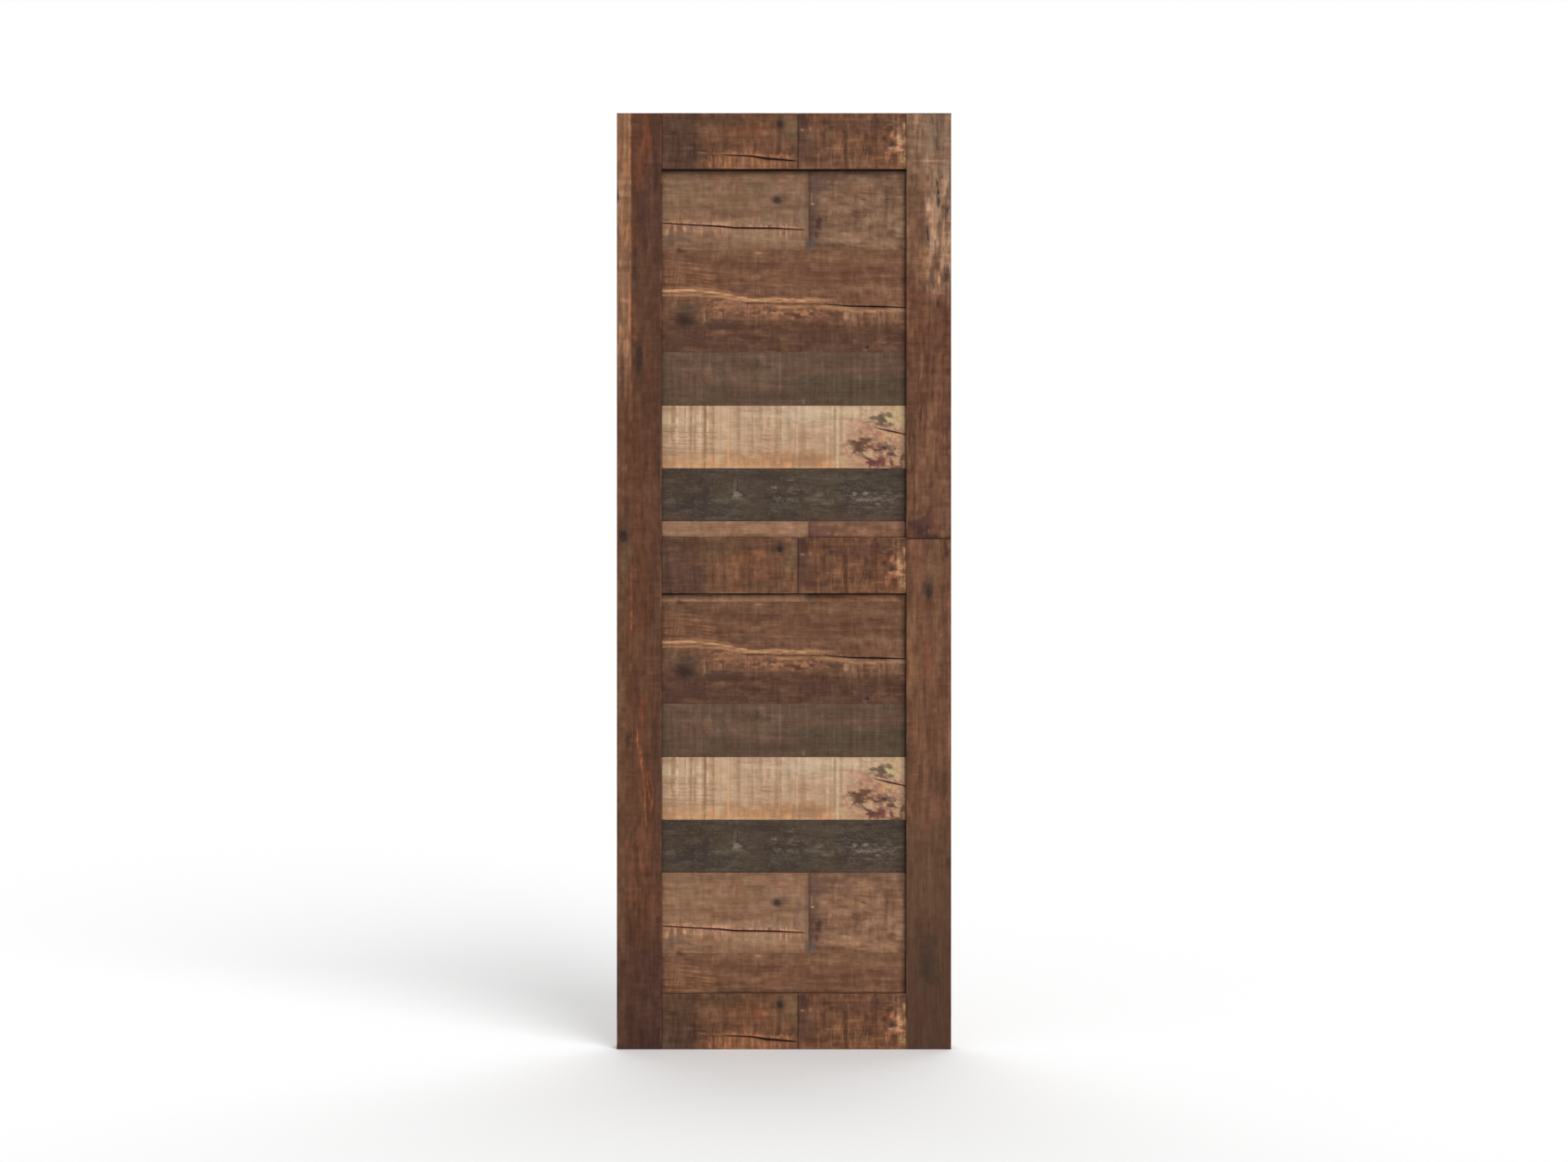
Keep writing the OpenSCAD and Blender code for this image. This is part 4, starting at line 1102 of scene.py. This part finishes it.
    def build(self):
        """Wraps a grid round the outline, closes its seam and its ends, and returns the piece."""
        place, across, depth, tone, marks = self.surface()
        columns, points = place.shape
        shell = bmesh.new()
        bmesh.ops.create_grid(shell, x_segments=columns - 1, y_segments=points - 1, size=1.0)
        mesh = bpy.data.meshes.new(self.node + "_worn")
        shell.to_mesh(mesh)
        shell.free()
        flat = np.empty(len(mesh.vertices) * 3)
        mesh.vertices.foreach_get("co", flat)
        flat = flat.reshape(-1, 3)
        i = np.rint((flat[:, 0] + 1) / 2 * (columns - 1)).astype(int)
        j = np.rint((flat[:, 1] + 1) / 2 * (points - 1)).astype(int)
        a, c, d = place[i, j], across[i, j], depth[i, j]
        if self.upright:
            spots = np.stack([self.start + c, self.front + d, a], axis=-1)
        else:
            spots = np.stack([a, self.front + d, self.start - c], axis=-1)
        mesh.vertices.foreach_set("co", (spots * MM).ravel())
        paint = np.concatenate([linear_colour(tone[i, j]), np.ones((len(i), 1))], axis=-1)
        carry(mesh, "board", "FLOAT_VECTOR", "vector", np.stack([a, c, d], axis=-1) * MM)
        carry(mesh, "marks", "FLOAT_VECTOR", "vector", marks[i, j])
        carry(mesh, "tone", "FLOAT_COLOR", "color", paint)
        close_shell(mesh)
        piece = bpy.data.objects.new(self.node + "_worn", mesh)
        bpy.context.scene.collection.objects.link(piece)
        return piece


def carry(mesh, name, kind, field, values):
    """Stores values at the points of a mesh, for its material to read."""
    layer = mesh.attributes.new(name, kind, "POINT")
    layer.data.foreach_set(field, values.ravel())


def close_shell(mesh):
    """Welds a wrapped grid's seam, caps its two ends, turns its faces outwards and keeps its
    sharp edges sharp."""
    shell = bmesh.new()
    shell.from_mesh(mesh)
    bmesh.ops.remove_doubles(shell, verts=shell.verts, dist=WELD_GAP)
    rim = [edge for edge in shell.edges if edge.is_boundary]
    bmesh.ops.holes_fill(shell, edges=rim, sides=0)
    bmesh.ops.recalc_face_normals(shell, faces=shell.faces)
    for face in shell.faces:
        face.smooth = True
    for edge in shell.edges:
        edge.smooth = edge.is_manifold and edge.calc_face_angle() < SHARP_ANGLE
    shell.to_mesh(mesh)
    shell.free()


# --- Shader building ---------------------------------------------------------------------

# The Texture Coordinate node's output that gives a point's place on its object
OBJECT_OUTPUT = 3

WHITE = (1.0, 1.0, 1.0, 1.0)
DULL_SPECULAR = 0.12

# Depths of the finest relief, in metres
GRAIN_RELIEF = 0.0005
RUST_RELIEF = 0.00012


class Value:
    """A number carried by a socket; arithmetic on it adds Math nodes."""

    def __init__(self, shader, socket):
        self.shader, self.socket = shader, socket

    def math(self, operation, first, second):
        return self.shader.add("ShaderNodeMath", {"operation": operation}, {0: first, 1: second})

    def __add__(self, other):
        return self.math("ADD", self, other)

    def __radd__(self, other):
        return self.math("ADD", other, self)

    def __sub__(self, other):
        return self.math("SUBTRACT", self, other)

    def __rsub__(self, other):
        return self.math("SUBTRACT", other, self)

    def __mul__(self, other):
        return self.math("MULTIPLY", self, other)

    def __rmul__(self, other):
        return self.math("MULTIPLY", other, self)

    def eased(self, low, high):
        """0 at low and 1 at high, eased between them."""
        settings = {"interpolation_type": "SMOOTHSTEP"}
        values = {"Value": self, "From Min": low, "From Max": high}
        return self.shader.add("ShaderNodeMapRange", settings, values)


class Shader:
    """A material whose nodes come from one method."""

    def __init__(self, name):
        self.material = bpy.data.materials.new(name)
        self.material.use_nodes = True
        self.tree = self.material.node_tree
        self.surface = self.tree.nodes["Principled BSDF"]

    def add(self, kind, settings=None, values=None, out=0):
        """A node of the given kind; its settings are set first, then its sockets' values or links."""
        node = self.tree.nodes.new(kind)
        for name, setting in (settings or {}).items():
            setattr(node, name, setting)
        for name, value in (values or {}).items():
            self.feed(node.inputs[name], value)
        return Value(self, node.outputs[out])

    def feed(self, socket, value):
        if isinstance(value, Value):
            self.tree.links.new(value.socket, socket)
        else:
            socket.default_value = value

    def vector(self, x, y, z):
        return self.add("ShaderNodeCombineXYZ", None, {0: x, 1: y, 2: z})

    def parts(self, vector):
        """The three numbers of a vector."""
        apart = self.add("ShaderNodeSeparateXYZ", None, {0: vector}).socket.node
        return [Value(self, output) for output in apart.outputs]

    def attribute(self, name, out=1):
        """What a board's mesh carries under a name: a vector, or with out=0 a colour."""
        return self.add("ShaderNodeAttribute", {"attribute_name": name}, None, out)

    def place(self):
        """A point's place in the leaf."""
        return self.parts(self.add("ShaderNodeTexCoord", None, None, out=OBJECT_OUTPUT))

    def noise(self, vector, detail=2.0, roughness=0.5):
        """Noise from about -1 to 1 with cells one unit wide."""
        values = {"Vector": vector, "Scale": 1.0, "Detail": detail, "Roughness": roughness}
        return self.add("ShaderNodeTexNoise", None, values) * 2.0 - 1.0

    def mix(self, share, first, second, blend="MIX"):
        """A mix of two colours; share 0 gives the first."""
        settings = {"data_type": "RGBA", "blend_type": blend}
        return self.add("ShaderNodeMix", settings, {0: share, 6: first, 7: second}, out=2)

    def scaled(self, colour, number):
        """A colour times a number."""
        settings = {"operation": "SCALE"}
        return self.add("ShaderNodeVectorMath", settings, {"Vector": colour, "Scale": number})

    def finish(self, colour, roughness, height, height_m):
        """Feeds the surface: its colour, its roughness and a bump of the given height."""
        self.surface.inputs["Specular IOR Level"].default_value = DULL_SPECULAR
        self.feed(self.surface.inputs["Base Color"], colour)
        self.feed(self.surface.inputs["Roughness"], roughness)
        bump = self.add("ShaderNodeBump", None,
                        {"Height": height, "Distance": height_m, "Strength": 1.0})
        self.feed(self.surface.inputs["Normal"], bump)
        return self.material


def rgba(colour):
    return (*(float(v) for v in linear_colour(colour)), 1.0)


# Tints of the grain's dark and light parts: multiplied into a board's tone
DARK_TINT = (1.04, 0.97, 0.93, 1.0)
LIGHT_TINT = (0.985, 1.01, 1.03, 1.0)


def grain_layers(shader, along, across, deep, seed):
    """The fine build of sawn wood: bands, streaks, fibres, pores, saw marks and the patches
    that the saw marks keep to. Pores run from 0 to 1 and the others from about -1 to 1. The
    numbers are cells per metre."""
    bend = shader.noise(shader.vector(along * 3.0 + seed, across * 9.0, deep * 9.0), 1.0) * 0.006
    lane = across + bend
    bands = shader.noise(shader.vector(along * 2.4 + seed, lane * 62.0, deep * 62.0), 3.0, 0.6)
    streaks = shader.noise(shader.vector(along * 7.0 + seed, lane * 230.0, deep * 230.0), 3.0, 0.6)
    fibres = shader.noise(shader.vector(along * 45.0, lane * 1300.0 + seed, deep * 1300.0), 2.0)
    pores = shader.noise(shader.vector(along * 90.0 + seed, lane * 900.0, deep * 900.0), 1.0)
    slant = along + across * 0.05
    sawn = shader.noise(shader.vector(slant * 240.0, across * 20.0 + seed, deep * 20.0), 2.0, 0.7)
    patches = shader.noise(shader.vector(along * 9.0, across * 16.0 + seed, deep * 16.0), 2.0)
    return bands, streaks, fibres, pores.eased(0.22, 0.5), sawn, patches


def aged_wood(name, seed, grain, saw, roughness):
    """Weathered wood for a worn board: its tone and marks come from the board's own paint."""
    shader = Shader(name)
    board = shader.attribute("board")
    marks = shader.attribute("marks")
    tone = shader.attribute("tone", out=0)
    along, across, deep = shader.parts(board)
    saw_mark, speck_mark, swirl = shader.parts(marks)
    bands, streaks, fibres, pores, sawn, patches = grain_layers(
        shader, along, across + swirl, deep, seed)
    sawing = saw_mark * patches.eased(-0.15, 0.5) * saw
    light = 1.04 + grain * (bands * 0.28 + streaks * 0.36 + fibres * 0.22)
    light = light + sawn * sawing * 0.75 - pores * 0.2
    colour = shader.scaled(tone, light)
    tint = shader.mix(light.eased(0.75, 1.3), DARK_TINT, LIGHT_TINT)
    colour = shader.mix(1.0, colour, tint, "MULTIPLY")
    flecks = shader.noise(shader.vector(along * 190.0, across * 330.0, deep * 330.0 + seed), 2.0)
    flecks = flecks.eased(0.22, 0.5) * speck_mark
    colour = shader.mix(flecks * 0.8, colour, rgba(ASH))
    height = streaks * 0.32 + fibres * 0.22 + sawn * sawing * 0.5 - pores * 0.5 + bands * 0.2
    rough = roughness + fibres * 0.06 + pores * 0.08 - sawn * 0.03
    return shader.finish(colour, rough, height, GRAIN_RELIEF)


def plain_wood(name, seed, tones, upright):
    """Plain weathered wood for a back board, patterned on its place in the leaf."""
    shader = Shader(name)
    x, deep, z = shader.place()
    along, across = (z, x) if upright else (x, z)
    bands, streaks, fibres, pores, sawn, patches = grain_layers(shader, along, across, deep, seed)
    blotch = shader.noise(shader.vector(along * 2.2 + seed, across * 17.0, deep * 17.0), 2.0)
    colour = shader.mix((blotch * 0.7 + bands * 0.5).eased(-0.75, 0.75),
                        rgba(tones[0]), rgba(tones[1]))
    stain = shader.noise(shader.vector(along * 5.0, across * 14.0, deep * 9.0 + seed), 3.0, 0.6)
    colour = shader.mix(stain.eased(0.12, 0.6) * 0.7, colour, rgba(tones[2]))
    sawing = patches.eased(-0.3, 0.6)
    light = 1.04 + streaks * 0.45 + fibres * 0.25 + sawn * sawing * 0.6 - pores * 0.2
    colour = shader.scaled(colour, light)
    height = streaks * 0.32 + fibres * 0.22 + sawn * sawing * 0.5 - pores * 0.5
    rough = 0.82 + fibres * 0.06 + pores * 0.08
    return shader.finish(colour, rough, height, GRAIN_RELIEF)


DARK_RUST = (96, 56, 36)
LIGHT_RUST = (132, 78, 46)
DULL_STEEL = (112, 106, 98)


def rusty_steel(name):
    """Dull screw steel, browned in patches."""
    shader = Shader(name)
    x, y, z = shader.place()
    patches = shader.noise(shader.vector(x * 420.0, y * 420.0, z * 420.0), 3.0, 0.6)
    fine = shader.noise(shader.vector(x * 2600.0, y * 2600.0, z * 2600.0), 2.0)
    rust = (patches + fine * 0.4).eased(-0.25, 0.35)
    browned = shader.mix(fine.eased(-0.5, 0.5), rgba(DARK_RUST), rgba(LIGHT_RUST))
    colour = shader.mix(rust, rgba(DULL_STEEL), browned)
    shader.feed(shader.surface.inputs["Metallic"], 1.0 - rust)
    return shader.finish(colour, 0.5 + rust * 0.35, fine + rust * 0.6, RUST_RELIEF)


# --- The door's pieces -------------------------------------------------------------------

def cracked_rail_face(face):
    rail_left_face(face, True)


def whole_rail_face(face):
    rail_left_face(face, False)


# Tones of the backs of the worn boards
TAN_BACK = (116, 90, 70)
BROWN_BACK = (100, 74, 58)
GREY_BACK = (92, 74, 62)
PALE_BACK = (158, 130, 102)
CHARCOAL_BACK = (78, 67, 59)
FRAME_BACK = (98, 71, 56)

# The back frame's darker wood, lighter wood and stains, and its boards' pattern numbers
BACK_TONES = ((86, 62, 48), (122, 90, 68), (74, 62, 54))
UPRIGHT_PATTERN = 5.2
LEVEL_PATTERN = 23.6

# Each kind of plank: its rows from the top, its side, front, back, open crack and wood
PLANK_FINISHES = (
    ((1, 6, 11), "", charcoal_face, CHARCOAL_BACK, None, "charcoal_wood"),
    ((2, 7, 12), "_left", split_left_face, TAN_BACK, SPLIT_CRACK, "pieced_wood"),
    ((2, 7, 12), "_right", split_right_face, TAN_BACK, None, "pieced_wood"),
    ((3, 8), "", brown_face, BROWN_BACK, BROWN_CRACK, "brown_wood"),
    ((13,), "", brown_face, BROWN_BACK, None, "brown_wood"),
    ((4, 9), "", grey_face, GREY_BACK, None, "grey_wood"),
    ((5, 10), "", pale_face, PALE_BACK, PALE_CRACK, "pale_wood"),
)

# Each wood's pattern number, strength of grain, strength of saw marks and roughness
WOODS = {
    "charcoal_wood": (3.1, 0.75, 0.8, 0.86),
    "pieced_wood": (17.7, 0.55, 1.0, 0.8),
    "brown_wood": (29.4, 0.7, 0.9, 0.78),
    "grey_wood": (41.9, 0.55, 1.0, 0.84),
    "pale_wood": (53.3, 0.5, 0.8, 0.78),
    "frame_wood": (67.8, 0.7, 1.0, 0.78),
}

# Each front frame board: whether it stands upright, its front and its open crack
FRAME_FINISHES = {
    "front_stile_left": (True, stile_left_face, None),
    "front_stile_right_upper": (True, stile_right_upper_face, None),
    "front_stile_right_lower": (True, stile_right_lower_face, None),
    "front_rail_top_left": (False, cracked_rail_face, RAIL_CRACK),
    "front_rail_middle_left": (False, whole_rail_face, None),
    "front_rail_bottom_left": (False, cracked_rail_face, RAIL_CRACK),
    "front_rail_top_right": (False, rail_right_face, None),
    "front_rail_middle_right": (False, rail_right_face, None),
    "front_rail_bottom_right": (False, rail_right_face, None),
}


def place_board(board, material):
    """Builds a worn board and hangs it in place of its plain node."""
    piece = board.build()
    piece.data.materials.append(material)
    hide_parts(board.node)
    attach(piece, "root")


def build_worn_boards():
    """The planks and the front frame, which are worn and marked on their fronts."""
    materials = {wood: aged_wood(wood, *look) for wood, look in WOODS.items()}
    for rows, side, finish, back, crack, wood in PLANK_FINISHES:
        for row in rows:
            board = Board(f"plank_{row:02d}{side}", False, finish, back, crack, PLANK_WEAR)
            place_board(board, materials[wood])
    for node, (upright, finish, crack) in FRAME_FINISHES.items():
        board = Board(node, upright, finish, FRAME_BACK, crack, FRAME_WEAR)
        place_board(board, materials["frame_wood"])


def finish_carried_nodes():
    """The back boards and the screws keep their own shape and get their finish."""
    upright = plain_wood("back_wood_upright", UPRIGHT_PATTERN, BACK_TONES, True)
    level = plain_wood("back_wood_level", LEVEL_PATTERN, BACK_TONES, False)
    steel = rusty_steel("screw_steel")
    for name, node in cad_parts.items():
        if name.startswith("back_stile"):
            dress(node, upright)
        elif name.startswith("back_rail"):
            dress(node, level)
        elif name == "screws":
            dress(node, steel)


def dress(node, material):
    """Gives a node that keeps its own shape one material throughout."""
    if not node.material_slots:
        node.data.materials.append(material)
    for place in node.material_slots:
        place.material = material


# --- Stage, camera and light -------------------------------------------------------------

# Half the floor's width, the share of light it throws back, and the studio's own light
FLOOR_HALF = 150.0
FLOOR_BOUNCE = (0.8, 0.8, 0.8, 1.0)
SKY_LIGHT = 0.49

# The width that the camera takes in at the leaf's front, and its height, in metres
VIEW_WIDTH = 3.573
VIEW_HEIGHT = 1.0675
FOCAL_MM = 50.0
SENSOR_MM = 36.0

# Each lamp's direction as seen from the leaf, its level and its spread in degrees
LAMPS = {
    "key": ((0.46, -0.65, 0.60), 0.475, 38.0),
    "back": ((0.1, 0.8, 0.6), 0.39, 80.0),
}


def white_to_camera(tree):
    """1 for rays from the camera and through glossy or clear surfaces."""
    path = tree.nodes.new("ShaderNodeLightPath")
    seen = path.outputs["Is Camera Ray"]
    for name in ("Is Glossy Ray", "Is Transmission Ray"):
        either = tree.nodes.new("ShaderNodeMath")
        either.operation = "MAXIMUM"
        tree.links.new(seen, either.inputs[0])
        tree.links.new(path.outputs[name], either.inputs[1])
        seen = either.outputs[0]
    return seen


def build_floor():
    """A floor that is white to the camera and a plainer grey to the light it throws back."""
    slab = bmesh.new()
    bmesh.ops.create_grid(slab, x_segments=1, y_segments=1, size=FLOOR_HALF)
    mesh = bpy.data.meshes.new("floor")
    slab.to_mesh(mesh)
    slab.free()
    floor = bpy.data.objects.new("floor", mesh)
    bpy.context.scene.collection.objects.link(floor)
    shader = Shader("floor_white")
    seen = Value(shader, white_to_camera(shader.tree))
    shader.feed(shader.surface.inputs["Base Color"], shader.mix(seen, FLOOR_BOUNCE, WHITE))
    shader.surface.inputs["Roughness"].default_value = 1.0
    shader.surface.inputs["Specular IOR Level"].default_value = 0.0
    mesh.materials.append(shader.material)


def build_world():
    """A studio that is white to the camera and lights the door with a dimmer white."""
    world = bpy.data.worlds.new("studio")
    bpy.context.scene.world = world
    world.use_nodes = True
    tree = world.node_tree
    lit = tree.nodes["Background"]
    white = tree.nodes.new("ShaderNodeBackground")
    for light, strength in ((lit, SKY_LIGHT), (white, 1.0)):
        light.inputs["Color"].default_value = WHITE
        light.inputs["Strength"].default_value = strength
    mix = tree.nodes.new("ShaderNodeMixShader")
    tree.links.new(white_to_camera(tree), mix.inputs[0])
    tree.links.new(lit.outputs[0], mix.inputs[1])
    tree.links.new(white.outputs[0], mix.inputs[2])
    tree.links.new(mix.outputs[0], tree.nodes["World Output"].inputs["Surface"])


def aim(thing, place, target):
    """Puts a lamp or camera at a place, looking at a target."""
    way = np.asarray(target, float) - np.asarray(place, float)
    flat = math.hypot(way[0], way[1])
    thing.location = place
    thing.rotation_euler = (math.atan2(flat, -way[2]), 0.0, math.atan2(-way[0], way[1]))


def soft_sun(name, toward, level, spread):
    """Even light from one side, spread over a wide angle; toward points at the lamp and level
    is the light on a surface that faces it."""
    lamp = bpy.data.lights.new(name, "SUN")
    lamp.energy = level * math.pi
    lamp.angle = math.radians(spread)
    thing = bpy.data.objects.new(name, lamp)
    bpy.context.scene.collection.objects.link(thing)
    aim(thing, toward, (0.0, 0.0, 0.0))


def build_lights():
    """A key light from the front right and a broad one from behind."""
    for name, lamp in LAMPS.items():
        soft_sun(name, *lamp)


def build_camera():
    """Level and square to the front, as far off as the view's width needs."""
    camera = bpy.data.cameras.new("camera")
    camera.lens = FOCAL_MM
    camera.sensor_width = SENSOR_MM
    distance = VIEW_WIDTH * FOCAL_MM / SENSOR_MM
    thing = bpy.data.objects.new("camera", camera)
    bpy.context.scene.collection.objects.link(thing)
    front = CAD_BOX[0][1]
    aim(thing, (0.0, front - distance, VIEW_HEIGHT), (0.0, 0.0, VIEW_HEIGHT))
    bpy.context.scene.camera = thing


build_worn_boards()
finish_carried_nodes()
build_floor()
build_world()
build_lights()
build_camera()
bpy.context.scene.view_settings.view_transform = "Standard"
